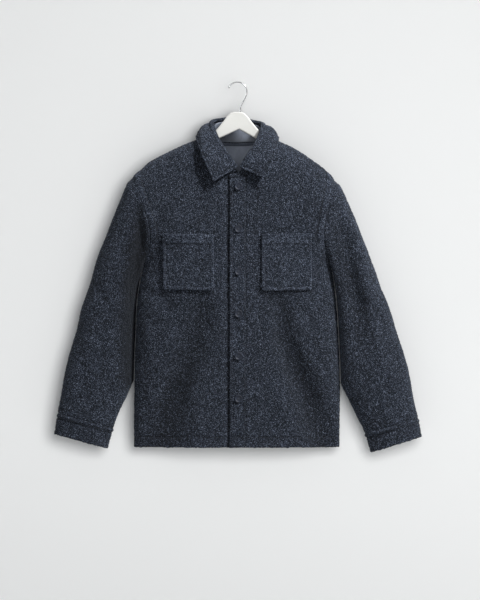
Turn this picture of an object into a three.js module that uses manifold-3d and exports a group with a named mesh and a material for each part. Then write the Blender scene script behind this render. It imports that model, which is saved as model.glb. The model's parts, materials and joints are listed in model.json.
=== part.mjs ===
// A boucle wool shacket with a rolled collar, two patch pockets and a buttoned placket, hanging on a
// flat hanger with a wire hook. Millimetres, +Z up, the front faces -Y, the origin is under the hook's
// crest. "Right" and "left" are the wearer's: the right side has negative X.
import * as THREE from "three";
import { mergeVertices } from "three/addons/utils/BufferGeometryUtils.js";
import Module from "manifold-3d";

const wasm = await Module();
wasm.setup();

// Cloth
const CLOTH = 3; // boucle wool
const CUFF_CLOTH = 4; // turned double
const LEAF_CLOTH = 3.8; // two layers of cloth, pressed
const LINING_CLOTH = 1.2;
const TAPE_CLOTH = 1;
const SEAM_GAP = 0.3;
const LAYER_GAP = 0.6; // between a panel and what is sewn on it
const SEAM_PULL = 0.26; // each edge stands back this far from its seam
const SLEEVE_PULL = 0.85; // a sleeve turns sharply into the armhole
const WEDGE = 0.9; // a sum of two unit normals shorter than this is a closed fold

// Body
const HEM_Z = -856;
const NECK_X = 76; // the high shoulder point, each side of the centre
const NECK_Z = -125.5;
const FRONT_NECK_Z = -226;
const FRONT_NECK_POWER = 1.35;
const BACK_NECK_DROP = 14;
const SHOULDER_ROLL = 130; // height over which the shoulder rounds down to the full depth
const SHOULDER_POWER = 2.2;
const SIDE_POWER = 2.3;
const ARMHOLE_FULLNESS = 0.8; // share of the depth that the armhole has at its widest
const ARMHOLE_DROP = 1.5; // above 1, the armhole's bow sits towards the underarm
const BACK_BOW = 0.55; // share of the front's bow that the back's armhole has
const PLACKET_SEAM_X = 19.7;
const PLACKET_EDGE_X = -18;
const UNDERLAP_X = -20; // how far the right front goes past the centre
const UNDERLAP_DIP = 3.9;
const UNDERLAP_START_X = 40;
const UNDERLAP_FULL_X = 23;
const WELT_WIDTH = 19; // stitched allowance along the armhole, on the body side
const WELT_HEIGHT = 1.8;
const WELT_EDGE = 4;
const WELT_END = { from: 0.6, to: 0.9 }; // shares of the armhole over which it runs out
const WELT_DEPTH = 12; // it grows from nothing over this much of the panel's depth

// Rows and columns of the panels
const ARMHOLE_STEPS = 10;
const SIDE_STEPS = 12;
const SLEEVE_STEPS = 15;
const CUFF_STEPS = 2;
const BAND_STEPS = 2;
const ROLL_STEPS = 4;
const FALL_STEPS = 5;
const HEM_SPACING = 1.25; // above 1, the columns are closer near the side seam at the hem

// Where the shoulder's columns stand, from the shoulder point to the neck point
const SHOULDER_SHARES = [0, 0.085, 0.115, 0.27, 0.43, 0.58, 0.73, 0.87];

// Half depth of the body by height, front and back
const DEPTHS = [
  { z: -900, front: 45, back: 43 },
  { z: -856, front: 46, back: 44 },
  { z: -600, front: 52, back: 50 },
  { z: -430, front: 53, back: 50 },
  { z: -330, front: 51, back: 48 },
  { z: -230, front: 47.6, back: 46 },
  { z: -120, front: 46, back: 44 },
];

// The two sides of the outline: the shoulder ridge, the armhole's ends, the body's side below it, and
// the sleeve's outer edge and lower inner edge, each as the distance from the centre at a height
const SIDES = {
  right: {
    sign: -1,
    bow: 24.6,
    ridge: [
      { x: -40, z: -109 },
      { x: 0, z: -98 },
      { x: 40, z: -109 },
      { x: NECK_X, z: NECK_Z },
      { x: 106.5, z: -136.8 },
      { x: 139.4, z: -150.9 },
      { x: 181.7, z: -172 },
      { x: 207.5, z: -186.1 },
      { x: 221.6, z: -198.5 },
      { x: 243.9, z: -217.4 },
      { x: 262, z: -236 },
    ],
    shoulderPoint: { x: 243.9, z: -217.4 },
    underarm: { x: 220.4, z: -428.2 },
    side: [
      { z: -900, x: 243.5 },
      { z: HEM_Z, x: 243.5 },
      { z: -700, x: 242.5 },
      { z: -600, x: 239.5 },
      { z: -520, x: 236 },
      { z: -484, x: 232 },
      { z: -428.2, x: 220.4 },
      { z: -400, x: 213 },
    ],
    sleeveOuter: [
      { z: -830, x: 429 },
      { z: -776, x: 421.5 },
      { z: -698, x: 407.3 },
      { z: -642, x: 395.5 },
      { z: -586, x: 379.1 },
      { z: -529, x: 365 },
      { z: -473, x: 346.2 },
      { z: -416, x: 329.7 },
      { z: -360, x: 308.6 },
      { z: -322, x: 294.5 },
      { z: -285, x: 278.4 },
      { z: -247, x: 263.9 },
      { z: -228.4, x: 254.5 },
      { z: -217.4, x: 243.9 },
    ],
    sleeveInner: [
      { z: -860, x: 306 },
      { z: -811, x: 291 },
      { z: -774, x: 278 },
      { z: -736, x: 259.4 },
      { z: -701, x: 244.4 },
    ],
    sleeveEnd: { outerZ: -776, innerZ: -811 },
    cuffEnd: { outer: { x: 428.5, z: -825 }, inner: { x: 305, z: -858.5 } },
  },
  left: {
    sign: 1,
    bow: 18,
    ridge: [
      { x: -40, z: -109 },
      { x: 0, z: -98 },
      { x: 40, z: -109 },
      { x: NECK_X, z: NECK_Z },
      { x: 99, z: -137.6 },
      { x: 128.5, z: -150.9 },
      { x: 161.4, z: -171 },
      { x: 182.6, z: -186.1 },
      { x: 203.7, z: -201.5 },
      { x: 226.1, z: -222.7 },
      { x: 240, z: -240 },
    ],
    shoulderPoint: { x: 226.1, z: -222.7 },
    underarm: { x: 220, z: -428.2 },
    side: [
      { z: -900, x: 240.5 },
      { z: HEM_Z, x: 240.5 },
      { z: -700, x: 241.5 },
      { z: -600, x: 238 },
      { z: -520, x: 233 },
      { z: -484, x: 229 },
      { z: -428.2, x: 220 },
      { z: -400, x: 213 },
    ],
    sleeveOuter: [
      { z: -840, x: 432 },
      { z: -787.7, x: 424.6 },
      { z: -754, x: 415.4 },
      { z: -698, x: 405.8 },
      { z: -642, x: 393.5 },
      { z: -586, x: 375.3 },
      { z: -529, x: 356.5 },
      { z: -473, x: 335.3 },
      { z: -416, x: 314.2 },
      { z: -360, x: 293 },
      { z: -322, x: 278.9 },
      { z: -285, x: 262.5 },
      { z: -247, x: 243.7 },
      { z: -222.7, x: 226.1 },
    ],
    sleeveInner: [
      { z: -870, x: 315 },
      { z: -823, x: 299.2 },
      { z: -792, x: 284.6 },
      { z: -774, x: 276.6 },
      { z: -736, x: 257.8 },
      { z: -707, x: 243.4 },
    ],
    sleeveEnd: { outerZ: -787.7, innerZ: -823 },
    cuffEnd: { outer: { x: 431.7, z: -831.5 }, inner: { x: 314.2, z: -867.8 } },
  },
};

// Half depth of a sleeve from the armhole, 0, to the cuff, 1, and how far its middle swings forward
const SLEEVE_DEPTHS = [
  { s: 0, depth: 33, forward: 0 },
  { s: 0.2, depth: 39, forward: 0 },
  { s: 0.45, depth: 41, forward: 1 },
  { s: 0.75, depth: 35, forward: 4 },
  { s: 1, depth: 27, forward: 8 },
];
const CUFF_DEPTH = 25;
const CUFF_PROUD = 0.8; // the doubled cuff stands out past the sleeve
const SLEEVE_CLEAR = 3.5; // between the sleeve's inner edge and the body's side
const SLEEVE_ROUNDNESS = 0.9; // under 1, the rings are fuller than an ellipse
const SLEEVE_GRIP = 0.34; // share of the sleeve over which its rings still follow the armhole
const SLEEVE_START = 0.03; // share of the sleeve over which its edges leave the armhole's ends
const SLEEVE_SPACING = 1.25; // above 1, the rings are closer near the armhole
const SLEEVE_FOLD_START = 0.08;

// Largest folds: soft troughs along a line of points in the front view, with their width and depth
const FRONT_FOLDS = {
  right: [
    { x: 92, z: -500, width: 26, depth: 0 },
    { x: 98, z: -540, width: 30, depth: 5 },
    { x: 125, z: -630, width: 34, depth: 8 },
    { x: 178, z: -767, width: 38, depth: 8 },
    { x: 205, z: -860, width: 40, depth: 6 },
  ],
  left: [
    { x: 104, z: -490, width: 24, depth: 0 },
    { x: 108, z: -530, width: 27, depth: 6 },
    { x: 119, z: -600, width: 30, depth: 8 },
    { x: 150, z: -683, width: 32, depth: 9 },
    { x: 185, z: -767, width: 34, depth: 9 },
    { x: 214, z: -860, width: 36, depth: 6 },
  ],
};
const BACK_FOLDS = {
  right: [
    { x: 60, z: -380, width: 34, depth: 0 },
    { x: 74, z: -480, width: 36, depth: 6 },
    { x: 104, z: -640, width: 40, depth: 9 },
    { x: 140, z: -860, width: 44, depth: 8 },
  ],
  left: [
    { x: 72, z: -420, width: 32, depth: 0 },
    { x: 80, z: -520, width: 35, depth: 7 },
    { x: 98, z: -660, width: 38, depth: 8 },
    { x: 128, z: -860, width: 42, depth: 8 },
  ],
};
const SLEEVE_FOLDS = {
  right: [
    { x: 238, z: -245, width: 12, depth: 5 },
    { x: 222, z: -318, width: 14, depth: 9 },
    { x: 226, z: -393, width: 15, depth: 8 },
    { x: 238, z: -463, width: 15, depth: 5 },
    { x: 246, z: -540, width: 16, depth: 0 },
  ],
  left: [
    { x: 233, z: -280, width: 14, depth: 2 },
    { x: 240, z: -314, width: 15, depth: 7 },
    { x: 262, z: -398, width: 17, depth: 10 },
    { x: 274, z: -468, width: 18, depth: 10 },
    { x: 292, z: -540, width: 19, depth: 8 },
    { x: 304, z: -611, width: 20, depth: 3 },
    { x: 312, z: -660, width: 20, depth: 0 },
  ],
};

// Columns of a front, from the neck point to the front edge: the neckline's x and the hem's x
const FRONT_COLUMNS = [
  { neck: NECK_X, hem: 100 },
  { neck: 74, hem: 92 },
  { neck: 69, hem: 82 },
  { neck: 60, hem: 70 },
  { neck: 48, hem: 55 },
  { neck: 34, hem: 38 },
  { neck: PLACKET_SEAM_X, hem: PLACKET_SEAM_X },
];
const UNDERLAP_COLUMNS = [
  { neck: 0, hem: 0 },
  { neck: UNDERLAP_X, hem: UNDERLAP_X },
];
const PLACKET_COLUMNS = [
  { neck: PLACKET_SEAM_X, hem: PLACKET_SEAM_X },
  { neck: 0, hem: 0 },
  { neck: PLACKET_EDGE_X, hem: PLACKET_EDGE_X },
];
const BACK_COLUMNS = [
  { neck: NECK_X, hem: 100 },
  { neck: 74, hem: 90 },
  { neck: 66, hem: 72 },
  { neck: 43, hem: 48 },
  { neck: 20, hem: 24 },
  { neck: 0, hem: 0 },
];

// The collar at each neckline column, front centre to back centre: the crest of its roll and the roll's
// radius, how much lower it is on the left, how far the leaf bows out and up, and the leaf's edge on
// the right and on the left
const COLLAR = [
  { at: "front", neck: 0, x: 0, y: -47.5, z: -201, roll: 4.8, drop: 0, full: 2, lift: 1, rx: 56, rz: -236.6, lx: 68, lz: -230.3, ey: -60 },
  { at: "front", neck: PLACKET_SEAM_X, x: 11, y: -47, z: -179, roll: 5.4, drop: 0, full: 3, lift: 2, rx: 62.5, rz: -221, lx: 72.5, lz: -215, ey: -58 },
  { at: "front", neck: 34, x: 22, y: -44, z: -164, roll: 6, drop: 0, full: 4, lift: 2.5, rx: 69, rz: -206, lx: 77, lz: -200, ey: -56 },
  { at: "front", neck: 48, x: 34, y: -38, z: -147.5, roll: 6.6, drop: 0.5, full: 5, lift: 3, rx: 75.5, rz: -190, lx: 82, lz: -185, ey: -52.5 },
  { at: "front", neck: 60, x: 44, y: -31, z: -131, roll: 6.6, drop: 1, full: 6, lift: 4, rx: 82, rz: -173, lx: 87, lz: -169, ey: -46 },
  { at: "front", neck: 69, x: 52.5, y: -21, z: -113, roll: 6.6, drop: 2, full: 8, lift: 6, rx: 88.5, rz: -155, lx: 91, lz: -155, ey: -37 },
  { at: "front", neck: 74, x: 57.5, y: -10.5, z: -100.5, roll: 6.6, drop: 4, full: 9, lift: 10, rx: 94, rz: -138, lx: 94.5, lz: -141, ey: -23 },
  { at: "front", neck: NECK_X, x: 60, y: 1, z: -91, roll: 6.6, drop: 5, full: 8, lift: 13, rx: 97.5, rz: -127, lx: 97, lz: -130.5, ey: -2 },
  { at: "back", neck: 74, x: 59.5, y: 12.5, z: -86.5, roll: 6.6, drop: 5.5, full: 7, lift: 17, rx: 97, rz: -132.5, lx: 96.5, lz: -135, ey: 19 },
  { at: "back", neck: 66, x: 54, y: 22.5, z: -83.5, roll: 6.6, drop: 5.5, full: 7, lift: 13, rx: 86, rz: -145, lx: 86, lz: -146, ey: 34 },
  { at: "back", neck: 43, x: 38, y: 31, z: -80.5, roll: 6.6, drop: 5, full: 6, lift: 8, rx: 60, rz: -151, lx: 60, lz: -151, ey: 43 },
  { at: "back", neck: 20, x: 19, y: 35.3, z: -78.7, roll: 6.6, drop: 2, full: 6, lift: 5, rx: 30, rz: -154, lx: 30, lz: -154, ey: 46 },
  { at: "back", neck: 0, x: 0, y: 36.5, z: -78, roll: 6.6, drop: 0, full: 6, lift: 4, rx: 0, rz: -155, lx: 0, lz: -155, ey: 47 },
];
const SIDE_COLUMN = 7; // of the collar's columns, the one at the shoulder
const COLLAR_CENTRE_X = 3;
const LEFT_SHIFT = 5; // the left fold line starts further out by this, and less towards the side
const LEAF_BOW = 0.45; // where along the leaf its bow is
const LEAF_START = 0.22; // each leaf starts this share of a column from the centre front
const LEFT_FORWARD = 1.8; // the left end of the collar laps over the right one
const BAND_END_DROP = 3.5; // the band's ends are lower than its middle, at the front
const ROLL_LEAN = 2.6; // the roll's first facet leans down over the band by this
const RIGHT_ROLL_EXTRA = 1.4; // the right leaf rolls over the left end of the band too

// Pockets: centre, size and top hem
const POCKETS = {
  right: { x: 114.5, topZ: -355.5, bottomZ: -487, width: 119, skew: 3 },
  left: { x: 115, topZ: -355.5, bottomZ: -488.5, width: 117, skew: -2 },
};
const POCKET_HEM = 23;
const POCKET_EDGE = 7; // raised by the turned edge
const POCKET_RELIEF = 0.9;
const POCKET_CORNER = 9;
const POCKET_CORNER_SLOPE = 0.35;
const POCKET_STEPS = 6; // between its raised edges

// Buttons
const BUTTON_X = 2.8;
const BUTTON_TOP_Z = -244.7;
const BUTTON_PITCH = 99.2;
const BUTTON_COUNT = 6;
const BUTTON_RADIUS = 9.2;
const BUTTON_HEIGHT = 3.4;
const BUTTON_SIDES = 18;
const BUTTON_PROFILE = [
  { out: 0, up: 0 },
  { out: 0.86, up: 0 },
  { out: 1, up: 0.4 },
  { out: 0.97, up: 0.8 },
  { out: 0.82, up: 1 },
  { out: 0.62, up: 0.66 },
  { out: 0, up: 0.62 },
];

// Inside the back neck
const LINING_ROWS = 5; // of the back's rows, from the neckline down
const LINING_COLUMNS = 4; // of the back's columns, each side of the centre
const TAPE = { halfWidth: 46, height: 6.5, columns: 8 };
const FACING_COLUMNS = 4; // of the band's columns, each side of the back centre

// Hanger
const HANGER = { thick: 12, bevel: 2.6, reach: 210, tipHeight: 17, apexX: 4, apexZ: -109, clear: 2.7 };
const HANGER_NECK = [
  { x: 9, z: -68.6 },
  { x: 17, z: -71.5 },
  { x: 25, z: -79.5 },
  { x: 33, z: -90.5 },
  { x: 43, z: -103 },
  { x: 53.5, z: -114.5 },
  { x: 64, z: -123.5 },
];
const HANGER_TIP = [
  { short: 4, drop: 1.5 },
  { short: 0, drop: 6 },
  { short: 1, drop: 13 },
  { short: 8, drop: 18 },
];
const HANGER_LEFT_DROP = 3; // the left arm's underside ends lower
const UNDERSIDE = [
  { x: 47, z: -132.5 },
  { x: 106, z: -160 },
  { x: 160, z: -184.5 },
];
const HOOK_SHAFT = [
  { out: 0, z: -72 },
  { out: 0, z: -62 },
  { out: 0.6, z: -56 },
  { out: 4.6, z: -47.5 },
  { out: 10.6, z: -37 },
];
const HOOK = { wire: 1.7, centreX: 0.2, radius: 22.3, shaftX: 7.3, socket: 14, startAngle: -18, tipAngle: 158, rimPoints: 10, steps: 44, sides: 8 };

// Colours
const NAVY = { color: 0x2f3542, roughness: 0.95, metalness: 0 };
const FACING_GREY = { color: 0x5c626e, roughness: 0.7, metalness: 0 };
const TAPE_NAVY = { color: 0x23262f, roughness: 0.8, metalness: 0 };
const BUTTON_NAVY = { color: 0x22242e, roughness: 0.4, metalness: 0 };
const HANGER_WHITE = { color: 0xf2f1ec, roughness: 0.45, metalness: 0 };
const HOOK_STEEL = { color: 0xb9bbbd, roughness: 0.25, metalness: 1 };

const point = (x, y, z) => new THREE.Vector3(x, y, z);
const mix = (a, b, t) => a + (b - a) * t;
const clamp01 = (t) => Math.min(1, Math.max(0, t));
const smoothstep = (a, b, t) => {
  const k = clamp01((t - a) / (b - a));
  return k * k * (3 - 2 * k);
};

// A smooth curve through a table's rows, read by one column and giving another
function tableCurve(rows, key, value) {
  const sorted = [...rows].sort((a, b) => a[key] - b[key]);
  const last = sorted.length - 1;
  const slope = (i) => {
    const [a, b] = [sorted[Math.max(0, i - 1)], sorted[Math.min(last, i + 1)]];
    return (b[value] - a[value]) / (b[key] - a[key]);
  };
  return (at) => {
    let i = 0;
    while (i < last - 1 && at > sorted[i + 1][key]) i += 1;
    const [a, b] = [sorted[i], sorted[i + 1]];
    const span = b[key] - a[key];
    const t = clamp01((at - a[key]) / span);
    const [t2, t3] = [t * t, t * t * t];
    return (
      (2 * t3 - 3 * t2 + 1) * a[value] +
      (t3 - 2 * t2 + t) * slope(i) * span +
      (3 * t2 - 2 * t3) * b[value] +
      (t3 - t2) * slope(i + 1) * span
    );
  };
}

// Depth of the soft troughs at a point of the front view: a bell across the line of points
function foldDepth(folds, x, z) {
  let best = 0;
  for (let i = 0; i < folds.length - 1; i += 1) {
    const [a, b] = [folds[i], folds[i + 1]];
    const [dx, dz] = [b.x - a.x, b.z - a.z];
    const t = clamp01(((x - a.x) * dx + (z - a.z) * dz) / (dx * dx + dz * dz));
    const away = Math.hypot(x - a.x - t * dx, z - a.z - t * dz);
    const width = mix(a.width, b.width, t);
    best = Math.max(best, mix(a.depth, b.depth, t) * Math.exp(-((away / width) ** 2)));
  }
  return best;
}

const depthAt = { front: tableCurve(DEPTHS, "z", "front"), back: tableCurve(DEPTHS, "z", "back") };
const sleeveDepth = tableCurve(SLEEVE_DEPTHS, "s", "depth");
const sleeveForward = tableCurve(SLEEVE_DEPTHS, "s", "forward");
for (const side of Object.values(SIDES)) {
  side.ridgeAt = tableCurve(side.ridge, "x", "z");
  side.sideAt = tableCurve(side.side, "z", "x");
  side.outerAt = tableCurve(side.sleeveOuter, "z", "x");
  side.innerAt = tableCurve(side.sleeveInner, "z", "x");
}

// The armhole in the front view, from the shoulder point, 0, to the underarm, 1: its chord bowed inwards
function armholePoint(side, share, face) {
  const bow = (face === "front" ? side.bow : side.bow * BACK_BOW) * Math.sin(Math.PI * share ** ARMHOLE_DROP);
  return {
    x: mix(side.shoulderPoint.x, side.underarm.x, share) - bow,
    z: mix(side.shoulderPoint.z, side.underarm.z, share),
  };
}

// Distance from the centre at which the body's section would close, beyond the armhole where there is one
function closingWidth(side, z, face) {
  if (z <= side.underarm.z) return side.sideAt(z);
  const share = clamp01((side.shoulderPoint.z - z) / (side.shoulderPoint.z - side.underarm.z));
  const fullness = ARMHOLE_FULLNESS * Math.sqrt(1 - share ** 3);
  return armholePoint(side, share, face).x / (1 - fullness ** SIDE_POWER) ** (1 / SIDE_POWER);
}

// Half depth of the body: full depth, rounded off to the side seam and to the shoulder ridge, less the folds
function bodyDepth(side, x, z, face) {
  const away = clamp01(Math.abs(x) / closingWidth(side, z, face));
  const across = (1 - away ** SIDE_POWER) ** (1 / SIDE_POWER);
  const below = clamp01((side.ridgeAt(x) - z) / SHOULDER_ROLL);
  const down = (1 - (1 - below) ** SHOULDER_POWER) ** (1 / SHOULDER_POWER);
  const folds = face === "front" ? FRONT_FOLDS : BACK_FOLDS;
  const trough = foldDepth(folds[side.sign < 0 ? "right" : "left"], x, z);
  return depthAt[face](z) * across * down - trough * across;
}

// The underlap of the right front lies behind the placket
const underlapDip = (x) => UNDERLAP_DIP * (1 - smoothstep(UNDERLAP_FULL_X, UNDERLAP_START_X, x));

// The stitched allowance that stands out beside the armhole
function weltRelief(side, x, z) {
  if (z < side.underarm.z || z > side.shoulderPoint.z + WELT_WIDTH) return 0;
  const share = clamp01((side.shoulderPoint.z - z) / (side.shoulderPoint.z - side.underarm.z));
  const inside = armholePoint(side, share, "front").x - x;
  const fade = 1 - smoothstep(WELT_END.from, WELT_END.to, share);
  return WELT_HEIGHT * fade * (1 - smoothstep(WELT_WIDTH - WELT_EDGE, WELT_WIDTH, inside));
}

// A point on a panel's outside, from its place in the front view
function bodyPoint(side, x, z, face, dip = 0) {
  const relief = face === "front" ? weltRelief(side, x, z) : 0;
  const edge = bodyDepth(side, x, z, face);
  const depth = edge - dip + relief * clamp01(edge / WELT_DEPTH);
  return point(side.sign * x, face === "front" ? -depth : depth, z);
}

const frontNeckZ = (x) =>
  FRONT_NECK_Z + (NECK_Z - FRONT_NECK_Z) * (clamp01(Math.max(0, x) / NECK_X) ** FRONT_NECK_POWER);
const backNeckZ = (x) => NECK_Z - BACK_NECK_DROP * Math.sqrt(1 - clamp01(x / NECK_X) ** 2);

// Heights of the panels' rows along the armhole and the side seam, and each as a share of the panel
function sideRows(side, face) {
  const rows = [];
  for (let i = 0; i <= ARMHOLE_STEPS; i += 1)
    rows.push(armholePoint(side, (1 - Math.cos((Math.PI * i) / ARMHOLE_STEPS)) / 2, face));
  for (let i = 1; i <= SIDE_STEPS; i += 1) {
    const z = mix(side.underarm.z, HEM_Z, i / SIDE_STEPS);
    rows.push({ x: side.sideAt(z), z });
  }
  return rows.map((p) => ({ ...p, share: (rows[0].z - p.z) / (rows[0].z - HEM_Z) }));
}

// Half a panel in the front view, from the side seam to its last column: each point is blended from the
// four edges (shoulder and neckline, side, front edge, hem), as a Coons patch is
function halfPanel(side, face, columns) {
  const neckZ = face === "front" ? frontNeckZ : backNeckZ;
  const top = [];
  const sideX = side.sideAt(HEM_Z);
  for (const share of SHOULDER_SHARES) {
    const x = mix(side.shoulderPoint.x, NECK_X, share);
    top.push({ x, z: side.ridgeAt(x), hem: mix(sideX, columns[0].hem, share ** HEM_SPACING) });
  }
  for (const c of columns) top.push({ x: c.neck, z: neckZ(c.neck), hem: c.hem });
  const edge = top[top.length - 1];
  const rows = sideRows(side, face);
  return rows.map((row) =>
    top.map((t) => {
      const u = (sideX - t.hem) / (sideX - edge.hem);
      const v = row.share;
      const sideOffset = {
        x: row.x - mix(rows[0].x, sideX, v),
        z: row.z - mix(rows[0].z, HEM_Z, v),
      };
      return { x: mix(t.x, t.hem, v) + (1 - u) * sideOffset.x, z: mix(t.z, HEM_Z, v) + (1 - u) * sideOffset.z };
    }),
  );
}

function frontPanel(side, columns, dips) {
  return halfPanel(side, "front", columns).map((row) =>
    row.map((p) => bodyPoint(side, p.x, p.z, "front", dips ? underlapDip(p.x) : 0)),
  );
}

// The placket's rows start at the left front's seam, so the two share their points
function placketPanel(leftFront) {
  const { left } = SIDES;
  return leftFront.map((row) => {
    const seam = row[row.length - 1];
    const share = (seam.z - HEM_Z) / (frontNeckZ(PLACKET_SEAM_X) - HEM_Z);
    return PLACKET_COLUMNS.map((c, i) =>
      i === 0 ? seam.clone() : bodyPoint(left, c.neck, mix(HEM_Z, frontNeckZ(c.neck), share), "front"),
    );
  });
}

function backPanel() {
  const halves = ["right", "left"].map((name) =>
    halfPanel(SIDES[name], "back", BACK_COLUMNS).map((row) =>
      row.map((p) => bodyPoint(SIDES[name], p.x, p.z, "back")),
    ),
  );
  return halves[0].map((row, i) => {
    const middle = row[row.length - 1].clone().lerp(halves[1][i][row.length - 1], 0.5);
    return [...row.slice(0, -1), middle, ...halves[1][i].slice(0, -1).reverse()];
  });
}

// A point on a sleeve's ring, which runs from its outer edge over the front to its inner edge and back
// behind it
function ringPoint(side, r, angle) {
  const share = (1 - Math.cos(angle)) / 2;
  const swell = Math.sign(Math.sin(angle)) * Math.abs(Math.sin(angle)) ** SLEEVE_ROUNDNESS;
  return point(
    side.sign * mix(r.outer.x, r.inner.x, share),
    -r.depth * swell - r.forward,
    mix(r.outer.z, r.inner.z, share),
  );
}

// A sleeve: rings that start on the armhole and turn, by s, to the cuff
function sleevePanel(side, folds) {
  const leavesBody = side.sleeveInner[side.sleeveInner.length - 1].z;
  const inner = (z) => (z > leavesBody ? side.sideAt(z) + SLEEVE_CLEAR : side.innerAt(z));
  const ring = (s) => {
    const outerZ = mix(side.shoulderPoint.z, side.sleeveEnd.outerZ, s);
    const innerZ = mix(side.underarm.z, side.sleeveEnd.innerZ, s);
    const start = clamp01(s / SLEEVE_START);
    return {
      outer: { x: mix(side.shoulderPoint.x, side.outerAt(outerZ), start), z: outerZ },
      inner: { x: mix(side.underarm.x, inner(innerZ), start), z: innerZ },
      depth: sleeveDepth(s),
      forward: sleeveForward(s),
    };
  };
  const count = 2 * ARMHOLE_STEPS;
  const angles = Array.from({ length: count }, (_, i) => (2 * Math.PI * i) / count);
  const armhole = angles.map((angle, i) => {
    const face = i <= ARMHOLE_STEPS ? "front" : "back";
    const p = armholePoint(side, (1 - Math.cos(angle)) / 2, face);
    return bodyPoint(side, p.x, p.z, face);
  });
  const first = ring(0);
  const grid = [];
  for (let k = 0; k <= SLEEVE_STEPS; k += 1) {
    const s = (k / SLEEVE_STEPS) ** SLEEVE_SPACING;
    const r = ring(s);
    const grip = 1 - smoothstep(0, SLEEVE_GRIP, s);
    grid.push(
      angles.map((angle, i) => {
        const p = ringPoint(side, r, angle);
        p.addScaledVector(armhole[i].clone().sub(ringPoint(side, first, angle)), grip);
        const facing = Math.max(0, Math.sin(angle)) * smoothstep(0, SLEEVE_FOLD_START, s);
        p.y += foldDepth(folds, side.sign * p.x, p.z) * facing;
        return p;
      }),
    );
  }
  return grid;
}

// A cuff continues the sleeve's last ring to its own lower edge
function cuffPanel(side, lastRing) {
  const grid = [];
  const count = lastRing.length;
  const cuffRing = { ...side.cuffEnd, depth: CUFF_DEPTH, forward: sleeveForward(1) };
  const middle = lastRing.reduce((sum, p) => sum.add(p), point(0, 0, 0)).divideScalar(count);
  for (let k = 0; k <= CUFF_STEPS; k += 1) {
    grid.push(
      lastRing.map((p, i) => {
        const end = ringPoint(side, cuffRing, (2 * Math.PI * i) / count);
        const proud = p.clone().sub(middle).setLength(CUFF_PROUD);
        return p.clone().lerp(end, k / CUFF_STEPS).add(proud);
      }),
    );
  }
  return grid;
}

// Outward direction of the collar's loop in plan at a column
function collarOut(side, index) {
  const [a, b] = [COLLAR[Math.max(0, index - 1)], COLLAR[Math.min(COLLAR.length - 1, index + 1)]];
  const out = point(-(b.y - a.y), b.x - a.x, 0);
  if (index === 0) out.set(0, -1, 0);
  if (index === COLLAR.length - 1) out.set(0, 1, 0);
  if (index > 0 && out.x * COLLAR[index].x + out.y * COLLAR[index].y < 0) out.negate();
  out.normalize();
  out.x *= side.sign;
  return out;
}

// How far the roll's first facet leans down over the band, more where the fold line is steep
function rollLean(index) {
  const [a, b] = [COLLAR[Math.max(0, index - 1)], COLLAR[Math.min(COLLAR.length - 1, index + 1)]];
  const slope = (b.z - a.z) / Math.hypot(b.x - a.x, b.y - a.y);
  return ROLL_LEAN * Math.hypot(1, slope);
}

// The top of the band's outside at a column: the crest of the roll, less the roll
function bandTop(side, index) {
  const row = COLLAR[index];
  const out = collarOut(side, index);
  const shift = side.sign > 0 ? LEFT_SHIFT * clamp01(1 - index / SIDE_COLUMN) : 0;
  const x = index === 0 ? COLLAR_CENTRE_X : side.sign * row.x + shift;
  const crest = side.sign > 0 ? row.z - row.drop : row.z;
  const forward = index === 0 && side.sign > 0 ? LEFT_FORWARD : 0;
  const top = point(x, row.y - forward, crest - row.roll - SEAM_GAP - rollLean(index));
  return top.addScaledVector(out, CLOTH - row.roll);
}

function neckPoint(side, row, dips) {
  const z = row.at === "front" ? frontNeckZ(row.neck) : backNeckZ(row.neck);
  return bodyPoint(side, row.neck, z, row.at, dips ? underlapDip(row.neck) : 0);
}

// The band, from its right end under the placket, round the back of the neck, to its left end
function bandPanel() {
  const { right, left } = SIDES;
  const last = COLLAR.length - 1;
  const loop = [];
  const endRow = (side, x, dip) => {
    const low = bodyPoint(side, x, frontNeckZ(x), "front", dip);
    const top = low.clone();
    top.z = bandTop(side, 0).z - BAND_END_DROP;
    top.y += dip > 0 ? LEFT_FORWARD : -LEFT_FORWARD / 4;
    return { low, top };
  };
  loop.push(endRow(right, UNDERLAP_X, UNDERLAP_DIP));
  for (let i = 0; i <= last; i += 1) {
    const top = bandTop(right, i);
    top.y += underlapDip(COLLAR[i].neck) * (COLLAR[i].at === "front" ? 1 : 0);
    loop.push({ low: neckPoint(right, COLLAR[i], COLLAR[i].at === "front"), top });
  }
  for (let i = last - 1; i >= 0; i -= 1) loop.push({ low: neckPoint(left, COLLAR[i], false), top: bandTop(left, i) });
  loop.push(endRow(left, PLACKET_EDGE_X, 0));
  const grid = [];
  for (let k = 0; k <= BAND_STEPS; k += 1)
    grid.push(loop.map((c) => c.top.clone().lerp(c.low, k / BAND_STEPS)));
  return grid;
}

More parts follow.
